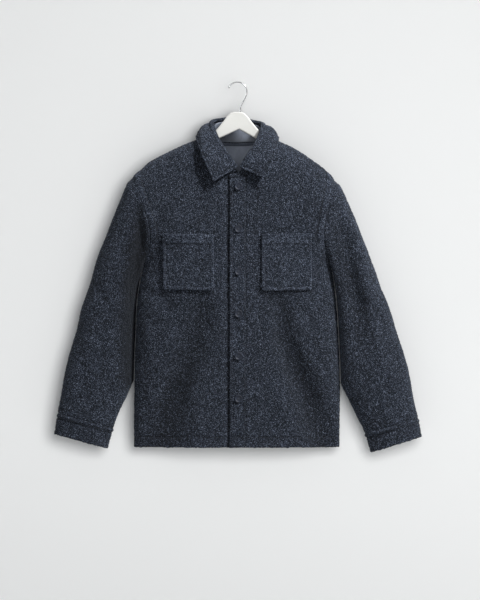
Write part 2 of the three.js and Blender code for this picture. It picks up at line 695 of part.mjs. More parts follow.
// The leaf: from the band's top, over the roll, and down to its outer edge. Each column is an arc of
// the roll's radius and then a bow from the arc's end to the edge.
function leafColumn(side, index) {
  const row = COLLAR[index];
  const out = collarOut(side, index);
  const up = point(0, 0, 1);
  const isRight = side.sign < 0;
  const dip = isRight && row.at === "front" ? underlapDip(row.neck) : 0;
  const roll = row.roll + (dip / UNDERLAP_DIP) * RIGHT_ROLL_EXTRA;
  const base = bandTop(side, index);
  if (index === 0) base.lerp(bandTop(side, 1), LEAF_START);
  base.y += dip;
  base.addScaledVector(out, -CLOTH).addScaledVector(up, SEAM_GAP + rollLean(index));
  const column = [];
  for (let k = 0; k <= ROLL_STEPS; k += 1) {
    const angle = (Math.PI * k) / ROLL_STEPS;
    column.push(
      base.clone().addScaledVector(out, roll * (1 - Math.cos(angle))).addScaledVector(up, roll * Math.sin(angle)),
    );
  }
  const start = column[ROLL_STEPS];
  const end = point(side.sign * (isRight ? row.rx : row.lx), row.ey, isRight ? row.rz : row.lz);
  const bow = start.clone().lerp(end, LEAF_BOW);
  bow.addScaledVector(out, row.full).addScaledVector(up, row.lift);
  const fall = new THREE.QuadraticBezierCurve3(start, bow, end);
  for (let k = 1; k <= FALL_STEPS; k += 1) column.push(fall.getPoint(k / FALL_STEPS));
  return column;
}

function leafPanel() {
  const columns = [];
  for (let i = 0; i < COLLAR.length; i += 1) columns.push(leafColumn(SIDES.right, i));
  for (let i = COLLAR.length - 2; i >= 0; i -= 1) columns.push(leafColumn(SIDES.left, i));
  return columns[0].map((_, k) => columns.map((c) => c[k]));
}

const keyOf = (p) => [p.x, p.y, p.z].map((v) => Math.round(v * 50) + 0).join();

// One normal for each point of the sewn cloth, so that two panels that share a seam also share the
// direction of their walls there: the mean of body, sleeve and collar, each summed over its own panels.
// Where a sleeve hangs against the body the two cancel out, and the seam's outside is straight below it.
function sharedNormals(panels) {
  const total = new Map();
  for (const [key, groups] of groupNormals(panels)) {
    const sum = point(0, 0, 0);
    for (const normal of groups.values()) sum.add(normal.normalize());
    if (groups.size > 1 && sum.length() < WEDGE) sum.z -= 1;
    total.set(key, sum.normalize());
  }
  return total;
}

function groupNormals(panels) {
  const sums = new Map();
  for (const { grid, closed, group } of panels) {
    const columns = grid[0].length;
    for (let i = 0; i < grid.length - 1; i += 1)
      for (let j = 0; j < (closed ? columns : columns - 1); j += 1) {
        const quad = [grid[i][j], grid[i + 1][j], grid[i + 1][(j + 1) % columns], grid[i][(j + 1) % columns]];
        const normal = quad[2].clone().sub(quad[0]).cross(quad[3].clone().sub(quad[1]));
        for (const p of quad) {
          const key = keyOf(p);
          if (!sums.has(key)) sums.set(key, new Map());
          const groups = sums.get(key);
          groups.set(group, (groups.get(group) || point(0, 0, 0)).add(normal));
        }
      }
  }
  return sums;
}

// Points moved back from a panel's edges by half the seam gap, along the panel
function trimmed(grid, closed, pull) {
  const [rows, columns] = [grid.length, grid[0].length];
  return grid.map((row, i) =>
    row.map((p, j) => {
      const q = p.clone();
      const step = (other) => q.add(other.clone().sub(p).setLength(pull));
      if (i === 0) step(grid[1][j]);
      if (i === rows - 1) step(grid[rows - 2][j]);
      if (!closed && j === 0) step(row[1]);
      if (!closed && j === columns - 1) step(row[columns - 2]);
      return q;
    }),
  );
}

// A closed wall between an outer and an inner grid of points
function wallBetween(outer, inner, closed) {
  const [rows, columns] = [outer.length, outer[0].length];
  const positions = [];
  for (const grid of [outer, inner]) for (const row of grid) for (const p of row) positions.push(p.x, p.y, p.z);
  const at = (layer, i, j) => layer * rows * columns + i * columns + (j % columns);
  const faces = [];
  const quad = (a, b, c, d) => faces.push(a, b, c, a, c, d);
  const across = closed ? columns : columns - 1;
  for (let i = 0; i < rows - 1; i += 1)
    for (let j = 0; j < across; j += 1) {
      quad(at(0, i, j), at(0, i + 1, j), at(0, i + 1, j + 1), at(0, i, j + 1));
      quad(at(1, i, j), at(1, i, j + 1), at(1, i + 1, j + 1), at(1, i + 1, j));
    }
  for (let j = 0; j < across; j += 1) {
    quad(at(0, 0, j), at(0, 0, j + 1), at(1, 0, j + 1), at(1, 0, j));
    quad(at(0, rows - 1, j + 1), at(0, rows - 1, j), at(1, rows - 1, j), at(1, rows - 1, j + 1));
  }
  if (!closed)
    for (let i = 0; i < rows - 1; i += 1) {
      quad(at(0, i + 1, 0), at(0, i, 0), at(1, i, 0), at(1, i + 1, 0));
      quad(at(0, i, columns - 1), at(0, i + 1, columns - 1), at(1, i + 1, columns - 1), at(1, i, columns - 1));
    }
  const geometry = new THREE.BufferGeometry();
  geometry.setAttribute("position", new THREE.Float32BufferAttribute(positions, 3));
  geometry.setIndex(faces);
  return facingOut(geometry);
}

// Turns a closed geometry round if its faces point inwards
function facingOut(geometry) {
  const p = geometry.getAttribute("position");
  const index = geometry.index.array;
  let volume = 0;
  const corner = [point(0, 0, 0), point(0, 0, 0), point(0, 0, 0)];
  for (let i = 0; i < index.length; i += 3) {
    corner.forEach((c, k) => c.fromBufferAttribute(p, index[i + k]));
    volume += corner[0].dot(corner[1].clone().cross(corner[2]));
  }
  if (volume < 0)
    for (let i = 0; i < index.length; i += 3) [index[i + 1], index[i + 2]] = [index[i + 2], index[i + 1]];
  geometry.computeVertexNormals();
  return geometry;
}

// A sewn panel's wall, from its outside points in towards the body
function sewnWall({ grid, closed, thick, pull }, normals) {
  const outer = trimmed(grid, closed, pull || SEAM_PULL);
  const inner = outer.map((row, i) =>
    row.map((p, j) => p.clone().addScaledVector(normals.get(keyOf(grid[i][j])), -thick)),
  );
  return wallBetween(outer, inner, closed);
}

// A small wall that lies on a surface: a grid of places across and down, moved out and made thick
function laidWall(across, down, place, near, thick) {
  const layer = (lift, isOuter) => down.map((v) => across.map((u) => place(u, v, lift, isOuter)));
  return wallBetween(layer(near + thick, true), layer(near, false), false);
}

// Even steps from one number to another
const steps = (from, to, count) => Array.from({ length: count + 1 }, (_, i) => mix(from, to, i / count));

// Direction out of the front or back panel, from the slope of its depth
function bodyNormal(side, x, z, face) {
  const step = 2;
  const dx = (bodyDepth(side, x + step, z, face) - bodyDepth(side, x - step, z, face)) / (2 * step);
  const dz = (bodyDepth(side, x, z + step, face) - bodyDepth(side, x, z - step, face)) / (2 * step);
  return point(-dx * side.sign, face === "front" ? -1 : 1, -dz).normalize();
}

// A layer inside part of a sewn panel, parallel to it and hanging from its points
function innerLayer({ grid }, normals, rows, columns, thick) {
  const cut = grid.slice(rows[0], rows[1] + 1).map((row) => row.slice(columns[0], columns[1] + 1));
  const layer = (depth) =>
    trimmed(cut, false, SEAM_PULL).map((row, i) =>
      row.map((p, j) => p.clone().addScaledVector(normals.get(keyOf(cut[i][j])), -depth)),
    );
  const near = CLOTH + LAYER_GAP;
  return wallBetween(layer(near), layer(near + thick), false);
}

// The tape over the seam of band and lining
function tapeWall() {
  const place = (u, v, lift) => {
    const x = mix(-TAPE.halfWidth, TAPE.halfWidth, u);
    const side = x < 0 ? SIDES.right : SIDES.left;
    const z = backNeckZ(Math.abs(x)) - TAPE.height * v;
    const p = bodyPoint(side, Math.abs(x), z, "back");
    return p.addScaledVector(bodyNormal(side, Math.abs(x), z, "back"), lift);
  };
  const near = CLOTH + LINING_CLOTH + 2 * LAYER_GAP;
  return laidWall(steps(0, 1, TAPE.columns), [0, 1], place, -near - TAPE_CLOTH, TAPE_CLOTH);
}

// A patch pocket: the panel's points moved out, with its turned edges and top hem raised
function pocketWall(name) {
  const side = SIDES[name];
  const { x: centre, topZ, bottomZ, width, skew } = POCKETS[name];
  const height = topZ - bottomZ;
  const [rimAcross, rimDown, hem] = [POCKET_EDGE / width, POCKET_EDGE / height, POCKET_HEM / height];
  const place = (u, v, lift, isOuter) => {
    const cut = Math.max(0, (v - 1) * height + POCKET_CORNER);
    const half = width / 2 - cut * POCKET_CORNER_SLOPE;
    const x = centre + mix(half, -half, u);
    const z = mix(topZ, bottomZ, v) + skew * (u - 0.5) * side.sign;
    const isRaised = Math.min(u, 1 - u) < rimAcross || 1 - v < rimDown || v < hem;
    const raised = isOuter && isRaised ? POCKET_RELIEF : 0;
    return bodyPoint(side, x, z, "front").addScaledVector(bodyNormal(side, x, z, "front"), lift + raised);
  };
  const inner = steps(rimAcross, 1 - rimAcross, POCKET_STEPS);
  const across = [0, rimAcross / 2, ...inner, 1 - rimAcross / 2, 1];
  const down = [0, hem / 2, ...steps(hem, 1 - rimDown, POCKET_STEPS), 1 - rimDown / 2, 1];
  return laidWall(across, down, place, LAYER_GAP, CLOTH);
}

// A sewn-through button: a dished disc with a rim
function buttonGeometry() {
  const profile = BUTTON_PROFILE.map((p) => new THREE.Vector2(p.out * BUTTON_RADIUS, p.up * BUTTON_HEIGHT));
  const turned = new THREE.LatheGeometry(profile, BUTTON_SIDES);
  turned.deleteAttribute("normal");
  turned.deleteAttribute("uv");
  return facingOut(mergeVertices(turned, 1e-3));
}

function solidOf(geometry) {
  const bare = geometry.clone();
  for (const name of Object.keys(bare.attributes)) if (name !== "position") bare.deleteAttribute(name);
  const merged = facingOut(mergeVertices(bare, 1e-3));
  return new wasm.Manifold(
    new wasm.Mesh({
      numProp: 3,
      vertProperties: merged.getAttribute("position").array,
      triVerts: new Uint32Array(merged.index.array),
    }),
  );
}

function geometryOf(solid) {
  const made = solid.getMesh();
  const geometry = new THREE.BufferGeometry();
  geometry.setAttribute("position", new THREE.Float32BufferAttribute(Array.from(made.vertProperties), 3));
  geometry.setIndex(Array.from(made.triVerts));
  geometry.computeVertexNormals();
  return geometry;
}

// The hanger: a flat board whose top follows the inside of the two shoulders, with a socket for the hook
function hangerGeometry() {
  const half = (side) => {
    const edge = HANGER_NECK.map((p) => [p.x, p.z]);
    for (const share of [...SHOULDER_SHARES, 1].reverse()) {
      const x = mix(side.shoulderPoint.x, NECK_X, share);
      if (x < HANGER.reach) edge.push([x, side.ridgeAt(x) - CLOTH - HANGER.clear]);
    }
    const tipZ = side.ridgeAt(HANGER.reach) - CLOTH - HANGER.clear;
    for (const p of HANGER_TIP) edge.push([HANGER.reach - p.short, tipZ - p.drop]);
    const lean = side.sign > 0 ? HANGER_LEFT_DROP / HANGER.reach : 0;
    for (const p of [...UNDERSIDE].reverse()) edge.push([p.x, p.z - lean * p.x]);
    return edge.map(([x, z]) => [side.sign * x, z]);
  };
  const outline = [...half(SIDES.left), [HANGER.apexX, HANGER.apexZ], ...half(SIDES.right).reverse()];
  const inset = new THREE.Shape(outline.map(([x, z]) => new THREE.Vector2(x, z)));
  const board = new THREE.ExtrudeGeometry(inset, {
    depth: HANGER.thick - 2 * HANGER.bevel,
    bevelEnabled: true,
    bevelThickness: HANGER.bevel,
    bevelSize: HANGER.bevel,
    bevelOffset: -HANGER.bevel,
    bevelSegments: 2,
    steps: 1,
  });
  board.translate(0, 0, -(HANGER.thick - 2 * HANGER.bevel) / 2);
  board.rotateX(Math.PI / 2);
  const hole = new THREE.CylinderGeometry(HOOK.wire + SEAM_GAP, HOOK.wire + SEAM_GAP, HOOK.socket * 2, HOOK.sides * 2);
  hole.rotateX(Math.PI / 2);
  hole.translate(HOOK.shaftX, 0, HANGER_NECK[0].z);
  return geometryOf(solidOf(board).subtract(solidOf(hole)));
}

// The hook: up from the socket, over to the circle's right and round its crest to the tip
function hookGeometry() {
  const centreZ = HOOK.wire - HOOK.radius;
  const rim = (degrees) => {
    const a = THREE.MathUtils.degToRad(degrees);
    return point(HOOK.centreX + HOOK.radius * Math.cos(a), 0, centreZ + HOOK.radius * Math.sin(a));
  };
  const bottom = HANGER_NECK[0].z - HOOK.socket + SEAM_GAP * 2;
  const points = [point(HOOK.shaftX, 0, bottom)];
  for (const p of HOOK_SHAFT) points.push(point(HOOK.shaftX + p.out, 0, p.z));
  for (const degrees of steps(HOOK.startAngle, HOOK.tipAngle, HOOK.rimPoints)) points.push(rim(degrees));
  const path = new THREE.CatmullRomCurve3(points, false, "centripetal");
  const section = new THREE.Shape();
  section.absarc(0, 0, HOOK.wire, 0, Math.PI * 2, false);
  return new THREE.ExtrudeGeometry(section, {
    steps: HOOK.steps,
    bevelEnabled: false,
    extrudePath: path,
    curveSegments: HOOK.sides / 2,
  });
}

const root = new THREE.Group();

function addPart(name, geometry, finish) {
  const mesh = new THREE.Mesh(geometry, new THREE.MeshStandardMaterial(finish));
  mesh.name = name;
  root.add(mesh);
  return mesh;
}

// The sewn cloth
const leftFront = frontPanel(SIDES.left, FRONT_COLUMNS, false);
const sleeves = {
  right: sleevePanel(SIDES.right, SLEEVE_FOLDS.right),
  left: sleevePanel(SIDES.left, SLEEVE_FOLDS.left),
};
const panels = [
  { name: "left_front", group: "body", grid: leftFront, thick: CLOTH },
  { name: "placket", group: "body", grid: placketPanel(leftFront), thick: CLOTH },
  { name: "right_front", group: "body", grid: frontPanel(SIDES.right, [...FRONT_COLUMNS, ...UNDERLAP_COLUMNS], true), thick: CLOTH },
  { name: "back", group: "body", grid: backPanel(), thick: CLOTH },
  { name: "right_sleeve", group: "sleeve", grid: sleeves.right, closed: true, thick: CLOTH, pull: SLEEVE_PULL },
  { name: "left_sleeve", group: "sleeve", grid: sleeves.left, closed: true, thick: CLOTH, pull: SLEEVE_PULL },
  { name: "right_cuff", group: "sleeve", grid: cuffPanel(SIDES.right, sleeves.right[SLEEVE_STEPS]), closed: true, thick: CUFF_CLOTH },
  { name: "left_cuff", group: "sleeve", grid: cuffPanel(SIDES.left, sleeves.left[SLEEVE_STEPS]), closed: true, thick: CUFF_CLOTH },
  { name: "collar_band", group: "collar", grid: bandPanel(), thick: CLOTH, pull: SLEEVE_PULL },
  { name: "collar_leaf", group: "collar", grid: leafPanel(), thick: LEAF_CLOTH },
];

// The panels whose columns run the other way round are turned to face out
const FLIPPED = new Set([
  "left_front", "placket", "left_sleeve", "left_cuff", "back", "collar_band", "collar_leaf",
]);
for (const panel of panels) {
  panel.closed = Boolean(panel.closed);
  if (FLIPPED.has(panel.name)) panel.grid = panel.grid.map((row) => [...row].reverse());
}
const normals = sharedNormals(panels);
for (const panel of panels) addPart(panel.name, sewnWall(panel, normals), NAVY);

// What is sewn on and inside
for (const name of ["right", "left"]) addPart(`${name}_pocket`, pocketWall(name), NAVY);
const panelOf = (name) => panels.find((panel) => panel.name === name);
const band = panelOf("collar_band");
const bandMiddle = (band.grid[0].length - 1) / 2;
const facingSpan = [bandMiddle - FACING_COLUMNS, bandMiddle + FACING_COLUMNS];
addPart("band_facing", innerLayer(band, normals, [0, BAND_STEPS], facingSpan, LINING_CLOTH), FACING_GREY);
const back = panelOf("back");
const backMiddle = (back.grid[0].length - 1) / 2;
const liningSpan = [backMiddle - LINING_COLUMNS, backMiddle + LINING_COLUMNS];
addPart("back_lining", innerLayer(back, normals, [0, LINING_ROWS], liningSpan, LINING_CLOTH), FACING_GREY);
addPart("neck_tape", tapeWall(), TAPE_NAVY);

for (let i = 0; i < BUTTON_COUNT; i += 1) {
  const z = BUTTON_TOP_Z - i * BUTTON_PITCH;
  const button = addPart(`button_${i + 1}`, buttonGeometry(), BUTTON_NAVY);
  const normal = bodyNormal(SIDES.left, BUTTON_X, z, "front");
  button.quaternion.setFromUnitVectors(point(0, 1, 0), normal);
  button.position.copy(bodyPoint(SIDES.left, BUTTON_X, z, "front").addScaledVector(normal, SEAM_GAP));
}

addPart("hanger", hangerGeometry(), HANGER_WHITE);
addPart("hanger_hook", hookGeometry(), HOOK_STEEL);

export default root;
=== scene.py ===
"""A boucle wool shacket on a hanger: the looks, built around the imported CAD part.

The CAD gives the form of each sewn piece. Here each one is a finer wall on that form, with the nubs of the
cloth, creases, seams and stitching. Shapes are worked out in millimetres and put into Blender in metres.
The front faces -Y, +Z is up and the origin is under the crest of the hook. "Right" and "left" are the
wearer's, so the right side has negative X.
"""

import itertools
import json
import math
from types import SimpleNamespace

import bpy
import numpy as np
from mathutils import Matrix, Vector

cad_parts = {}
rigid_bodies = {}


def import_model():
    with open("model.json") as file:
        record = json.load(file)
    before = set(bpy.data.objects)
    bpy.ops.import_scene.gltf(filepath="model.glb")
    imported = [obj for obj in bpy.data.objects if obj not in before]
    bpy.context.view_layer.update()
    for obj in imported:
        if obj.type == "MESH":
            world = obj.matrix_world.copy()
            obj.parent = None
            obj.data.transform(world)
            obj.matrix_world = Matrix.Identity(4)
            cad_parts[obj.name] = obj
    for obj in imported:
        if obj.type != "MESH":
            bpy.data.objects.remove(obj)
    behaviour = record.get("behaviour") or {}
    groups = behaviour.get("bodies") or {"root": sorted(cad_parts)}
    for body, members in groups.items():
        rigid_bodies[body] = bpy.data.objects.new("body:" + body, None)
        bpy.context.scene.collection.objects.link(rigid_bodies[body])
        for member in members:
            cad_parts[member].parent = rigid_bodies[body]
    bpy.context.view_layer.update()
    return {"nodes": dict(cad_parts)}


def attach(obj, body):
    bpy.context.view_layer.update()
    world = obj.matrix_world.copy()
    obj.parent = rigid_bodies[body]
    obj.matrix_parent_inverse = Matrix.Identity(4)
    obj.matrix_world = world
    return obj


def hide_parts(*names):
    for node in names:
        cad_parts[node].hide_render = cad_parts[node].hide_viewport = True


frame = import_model()
MM = 0.001


def table(columns, *rows):
    """A short table as one array for each named column."""
    return SimpleNamespace(**dict(zip(columns.split(), np.array(rows, float).T)))


# The cut, as in the CAD
CLOTH = 3.0
CUFF_CLOTH = 4.0
LEAF_CLOTH = 3.8
LINING_CLOTH = 1.2
TAPE_CLOTH = 1.0
SEAM_GAP = 0.3
LAYER_GAP = 0.6
SEAM_PULL = 0.26
SLEEVE_PULL = {"top": 0.4, "bottom": 0.12}  # the cuff closes on the sleeve, so that no light shows there
SEAM_CLOTH = 0.9  # a wall thins to this at a sewn edge, so that two walls never cross there

HEM_Z = -856.0
NECK_X = 76.0
NECK_Z = -125.5
FRONT_NECK_Z = -226.0
FRONT_NECK_POWER = 1.35
BACK_NECK_DROP = 14.0
SHOULDER_ROLL = 130.0
SHOULDER_POWER = 2.2
SIDE_POWER = 2.3
ARMHOLE_FULLNESS = 0.8
ARMHOLE_DROP = 1.5
BACK_BOW = 0.55
PLACKET_SEAM_X = 19.7
PLACKET_EDGE_X = -18.0
PLACKET_EDGE_OVER = 20.5  # on the right front, just beyond that edge
UNDERLAP_X = -20.0
UNDERLAP_DIP = 3.9
UNDERLAP_START_X = 40.0
UNDERLAP_FULL_X = 23.0
WELT_WIDTH = 19.0
WELT_HEIGHT = 1.8
WELT_EDGE = 4.0
WELT_END = (0.6, 0.9)
WELT_DEPTH = 12.0
HEM_SPACING = 1.25

DEPTHS = table(
    "z front back",
    (-900, 45, 43), (-856, 46, 44), (-600, 52, 50), (-430, 53, 50),
    (-330, 51, 48), (-230, 47.6, 46), (-120, 46, 44),
)
SIDES = {
    "right": SimpleNamespace(
        sign=-1,
        bow=24.6,
        ridge=table(
            "x z",
            (-40, -109), (0, -98), (40, -109), (NECK_X, NECK_Z), (106.5, -136.8), (139.4, -150.9),
            (181.7, -172), (207.5, -186.1), (221.6, -198.5), (243.9, -217.4), (262, -236),
        ),
        shoulder=(243.9, -217.4),
        underarm=(220.4, -428.2),
        edge=table(
            "z x",
            (-900, 243.5), (HEM_Z, 243.5), (-700, 242.5), (-600, 239.5), (-520, 236),
            (-484, 232), (-428.2, 220.4), (-400, 213),
        ),
        sleeve_outer=table(
            "z x",
            (-830, 429), (-776, 421.5), (-698, 407.3), (-642, 395.5), (-586, 379.1), (-529, 365),
            (-473, 346.2), (-416, 329.7), (-360, 308.6), (-322, 294.5), (-285, 278.4), (-247, 263.9),
            (-228.4, 254.5), (-217.4, 243.9),
        ),
        sleeve_inner=table(
            "z x", (-860, 306), (-811, 291), (-774, 278), (-736, 259.4), (-701, 244.4)
        ),
        sleeve_end=(-776, -811),
        cuff_outer=(428.5, -825),
        cuff_inner=(305, -858.5),
    ),
    "left": SimpleNamespace(
        sign=1,
        bow=18.0,
        ridge=table(
            "x z",
            (-40, -109), (0, -98), (40, -109), (NECK_X, NECK_Z), (99, -137.6), (128.5, -150.9),
            (161.4, -171), (182.6, -186.1), (203.7, -201.5), (226.1, -222.7), (240, -240),
        ),
        shoulder=(226.1, -222.7),
        underarm=(220, -428.2),
        edge=table(
            "z x",
            (-900, 240.5), (HEM_Z, 240.5), (-700, 241.5), (-600, 238), (-520, 233),
            (-484, 229), (-428.2, 220), (-400, 213),
        ),
        sleeve_outer=table(
            "z x",
            (-840, 432), (-787.7, 424.6), (-754, 415.4), (-698, 405.8), (-642, 393.5), (-586, 375.3),
            (-529, 356.5), (-473, 335.3), (-416, 314.2), (-360, 293), (-322, 278.9), (-285, 262.5),
            (-247, 243.7), (-222.7, 226.1),
        ),
        sleeve_inner=table(
            "z x", (-870, 315), (-823, 299.2), (-792, 284.6), (-774, 276.6), (-736, 257.8), (-707, 243.4)
        ),
        sleeve_end=(-787.7, -823),
        cuff_outer=(431.7, -831.5),
        cuff_inner=(314.2, -867.8),
    ),
}
SLEEVE_DEPTHS = table(
    "s depth forward", (0, 33, 0), (0.2, 39, 0), (0.45, 41, 1), (0.75, 35, 4), (1, 27, 8)
)
CUFF_DEPTH = 25.0
CUFF_PROUD = 0.8
SLEEVE_CLEAR = 1.2
SLEEVE_ROUNDNESS = 0.9
SLEEVE_GRIP = 0.34
SLEEVE_START = 0.03
SLEEVE_FOLD_START = 0.08

# The largest folds, which the CAD has too: a trough along a line of points in the front view
FOLDS = {
    ("front", "right"): table(
        "x z width depth",
        (92, -500, 26, 0), (98, -540, 30, 5), (125, -630, 34, 8), (178, -767, 38, 8), (205, -860, 40, 6),
    ),
    ("front", "left"): table(
        "x z width depth",
        (104, -490, 24, 0), (108, -530, 27, 6), (119, -600, 30, 8), (150, -683, 32, 9),
        (185, -767, 34, 9), (214, -860, 36, 6),
    ),
    ("back", "right"): table(
        "x z width depth", (60, -380, 34, 0), (74, -480, 36, 6), (104, -640, 40, 9), (140, -860, 44, 8)
    ),
    ("back", "left"): table(
        "x z width depth", (72, -420, 32, 0), (80, -520, 35, 7), (98, -660, 38, 8), (128, -860, 42, 8)
    ),
    ("sleeve", "right"): table(
        "x z width depth",
        (238, -245, 12, 5), (222, -318, 14, 9), (226, -393, 15, 8), (238, -463, 15, 5), (246, -540, 16, 0),
    ),
    ("sleeve", "left"): table(
        "x z width depth",
        (233, -280, 14, 2), (240, -314, 15, 7), (262, -398, 17, 10), (274, -468, 18, 10),
        (292, -540, 19, 8), (304, -611, 20, 3), (312, -660, 20, 0),
    ),
}
FRONT_COLUMNS = table(
    "neck hem", (NECK_X, 100), (74, 92), (69, 82), (60, 70), (48, 55), (34, 38), (19.7, 19.7)
)
RIGHT_COLUMNS = table(
    "neck hem",
    (NECK_X, 100), (74, 92), (69, 82), (60, 70), (48, 55), (34, 38), (19.7, 19.7), (0, 0), (-20, -20),
)
BACK_COLUMNS = table("neck hem", (NECK_X, 100), (74, 90), (66, 72), (43, 48), (20, 24), (0, 0))
COLLAR = table(
    "front neck x y z roll drop full lift rx rz lx lz ey",
    (1, 0, 0, -47.5, -201, 4.8, 0, 2, 1, 56, -236.6, 68, -230.3, -60),
    (1, 19.7, 11, -47, -179, 5.4, 0, 3, 2, 62.5, -221, 72.5, -215, -58),
    (1, 34, 22, -44, -164, 6, 0, 4, 2.5, 69, -206, 77, -200, -56),
    (1, 48, 34, -38, -147.5, 6.6, 0.5, 5, 3, 75.5, -190, 82, -185, -52.5),
    (1, 60, 44, -31, -131, 6.6, 1, 6, 4, 82, -173, 87, -169, -46),
    (1, 69, 52.5, -21, -113, 6.6, 2, 8, 6, 88.5, -155, 91, -155, -37),
    (1, 74, 57.5, -10.5, -100.5, 6.6, 4, 9, 10, 94, -138, 94.5, -141, -23),
    (1, NECK_X, 60, 1, -91, 6.6, 5, 8, 13, 97.5, -127, 97, -130.5, -2),
    (0, 74, 59.5, 12.5, -86.5, 6.6, 5.5, 7, 17, 97, -132.5, 96.5, -135, 19),
    (0, 66, 54, 22.5, -83.5, 6.6, 5.5, 7, 13, 86, -145, 86, -146, 34),
    (0, 43, 38, 31, -80.5, 6.6, 5, 6, 8, 60, -151, 60, -151, 43),
    (0, 20, 19, 35.3, -78.7, 6.6, 2, 6, 5, 30, -154, 30, -154, 46),
    (0, 0, 0, 36.5, -78, 6.6, 0, 6, 4, 0, -155, 0, -155, 47),
)
SIDE_COLUMN = 7
COLLAR_CENTRE_X = 3.0
LEFT_SHIFT = 5.0
LEAF_BOW = 0.45
LEAF_START = 0.22
LEFT_FORWARD = 1.8
BAND_END_DROP = 3.5
ROLL_LEAN = 2.6
RIGHT_ROLL_EXTRA = 1.4
ROLL_SHARE = 0.2  # of the leaf's rows, those on the roll

POCKETS = {
    "right": SimpleNamespace(x=114.5, top=-355.5, bottom=-487.0, width=119.0, skew=3.0),
    "left": SimpleNamespace(x=115.0, top=-355.5, bottom=-488.5, width=117.0, skew=-2.0),
}
POCKET_HEM = 23.0
POCKET_EDGE = 7.0
POCKET_RELIEF = 1.5
POCKET_CORNER = 9.0
POCKET_CORNER_SLOPE = 0.35

BUTTON_X = 2.8
BUTTON_TOP_Z = -244.7
BUTTON_PITCH = 99.2
BUTTON_COUNT = 6
BUTTON_RADIUS = 9.2
BUTTON_HEIGHT = 3.4

TAPE_HALF = 46.0
TAPE_HEIGHT = 6.5
LINING_SHARE = 0.5  # of the armhole, how far down the lining's lower edge is
FACING_FROM = 8  # the collar's column at which the facing of the band starts, each side

HOOK = SimpleNamespace(wire=1.7, centre_x=0.2, radius=22.3, shaft_x=7.3, start=-18.0, tip=158.0)
HOOK_SHAFT = table(
    "out z", (0, -82), (0, -72), (0, -62), (0.6, -56), (4.6, -47.5), (10.6, -37)
)

# The cloth
NUB = 4.5  # size of a curl of the yarn
NUB_HEIGHT = 1.05
CLUMP = 13.0  # the curls lie in clumps
CLUMP_HEIGHT = 0.25
SWELL = 48.0  # and the cloth never hangs quite flat
SWELL_HEIGHT = 0.9
EDGE_ROUND = 3.0
EDGE_SINK = 1.2
EDGE_NUB = 1.5
TUFT = 7.0
EDGE_TUFT = 0.9
SEAM_WIDTH = 6.0
SEAM_SINK = 1.4
STITCH_INSET = 6.5
STITCH_WIDTH = 1.7
HEM_STITCH = 24.0

# Creases: middle, half length, the direction's angle from +X in degrees, how far it bends, width, depth.
# A ridge has negative depth. x is the distance from the centre of the garment.
CREASES = {
    "right_front": table(
        "x z half angle bend width depth",
        (150, -560, 70, 62, 9, 17, 2.6), (66, -640, 110, 84, 8, 20, 2.4), (190, -500, 46, 28, -6, 12, 1.6),
        (206, -620, 60, 70, 8, 15, -1.8), (42, -420, 90, 87, -5, 13, 1.3), (160, -255, 60, -34, 8, 19, 1.7),
        (118, -215, 46, -52, 6, 15, 1.3), (186, -320, 40, 60, 6, 14, 1.6), (100, -760, 70, 72, -8, 20, -2.2),
        (222, -760, 50, 84, 5, 13, 1.5),
    ),
    "left_front": table(
        "x z half angle bend width depth",
        (158, -545, 64, -58, -8, 17, 2.5), (60, -610, 120, -86, -7, 20, 2.3), (196, -520, 44, -30, 5, 12, 1.6),
        (210, -640, 60, -72, -7, 15, -1.8), (46, -425, 84, 92, 5, 13, 1.2), (150, -250, 58, -36, 8, 18, 1.6),
        (108, -226, 40, -56, 6, 14, 1.3), (182, -318, 38, 66, -6, 14, 1.5), (106, -775, 66, -70, 8, 20, -2.0),
        (224, -745, 54, -82, -5, 13, 1.4),
    ),
    "back": table(
        "x z half angle bend width depth",
        (120, -300, 90, -50, 12, 20, 2.4), (-128, -310, 84, 52, -12, 20, 2.2), (0, -330, 110, 88, 8, 24, 1.8),
        (190, -470, 60, 40, -8, 16, 2.2), (-192, -480, 60, -38, 8, 16, 2.4), (40, -600, 120, 84, -9, 22, 2.2),
        (-30, -690, 120, -86, 8, 24, -2.4), (200, -700, 80, 80, 6, 18, 2.0), (-204, -690, 80, -82, -6, 18, 2.0),
        (70, -780, 60, 76, 6, 18, 1.8), (-90, -800, 56, -78, -6, 18, 1.7),
    ),
    "right_sleeve": table(
        "x z half angle bend width depth",
        (270, -330, 52, 118, 7, 12, 2.6), (292, -420, 46, 112, -6, 12, -2.0), (318, -500, 44, 64, 6, 12, 2.2),
        (285, -545, 34, 30, -5, 9, 2.4), (292, -580, 38, 22, 5, 10, 2.2), (344, -590, 46, 116, 6, 13, -2.2),
        (320, -655, 44, 100, -5, 12, 2.0), (362, -690, 40, 112, 5, 12, 1.8), (300, -715, 30, 68, 4, 10, 1.6),
        (340, -752, 18, 108, 2, 6, 1.5), (372, -748, 18, 112, -2, 6, 1.4), (396, -742, 16, 110, 2, 6, 1.2),
        (312, -775, 16, 104, -2, 6, 1.3),
    ),
    "left_sleeve": table(
        "x z half angle bend width depth",
        (252, -290, 40, -60, 5, 10, 1.8), (300, -380, 44, -64, -6, 12, -2.0), (328, -470, 46, -60, 6, 12, 1.8),
        (300, -520, 34, -20, 5, 9, 2.0), (336, -560, 44, -66, -6, 13, 2.0), (330, -640, 46, -74, 5, 13, -2.0),
        (372, -655, 44, -66, 5, 12, 1.8), (300, -690, 36, -30, -5, 10, 1.9), (350, -725, 34, -72, 4, 11, 1.7),
        (336, -775, 18, -72, 2, 6, 1.5), (366, -768, 18, -70, -2, 6, 1.4), (396, -760, 16, -72, 2, 6, 1.2),
    ),
}

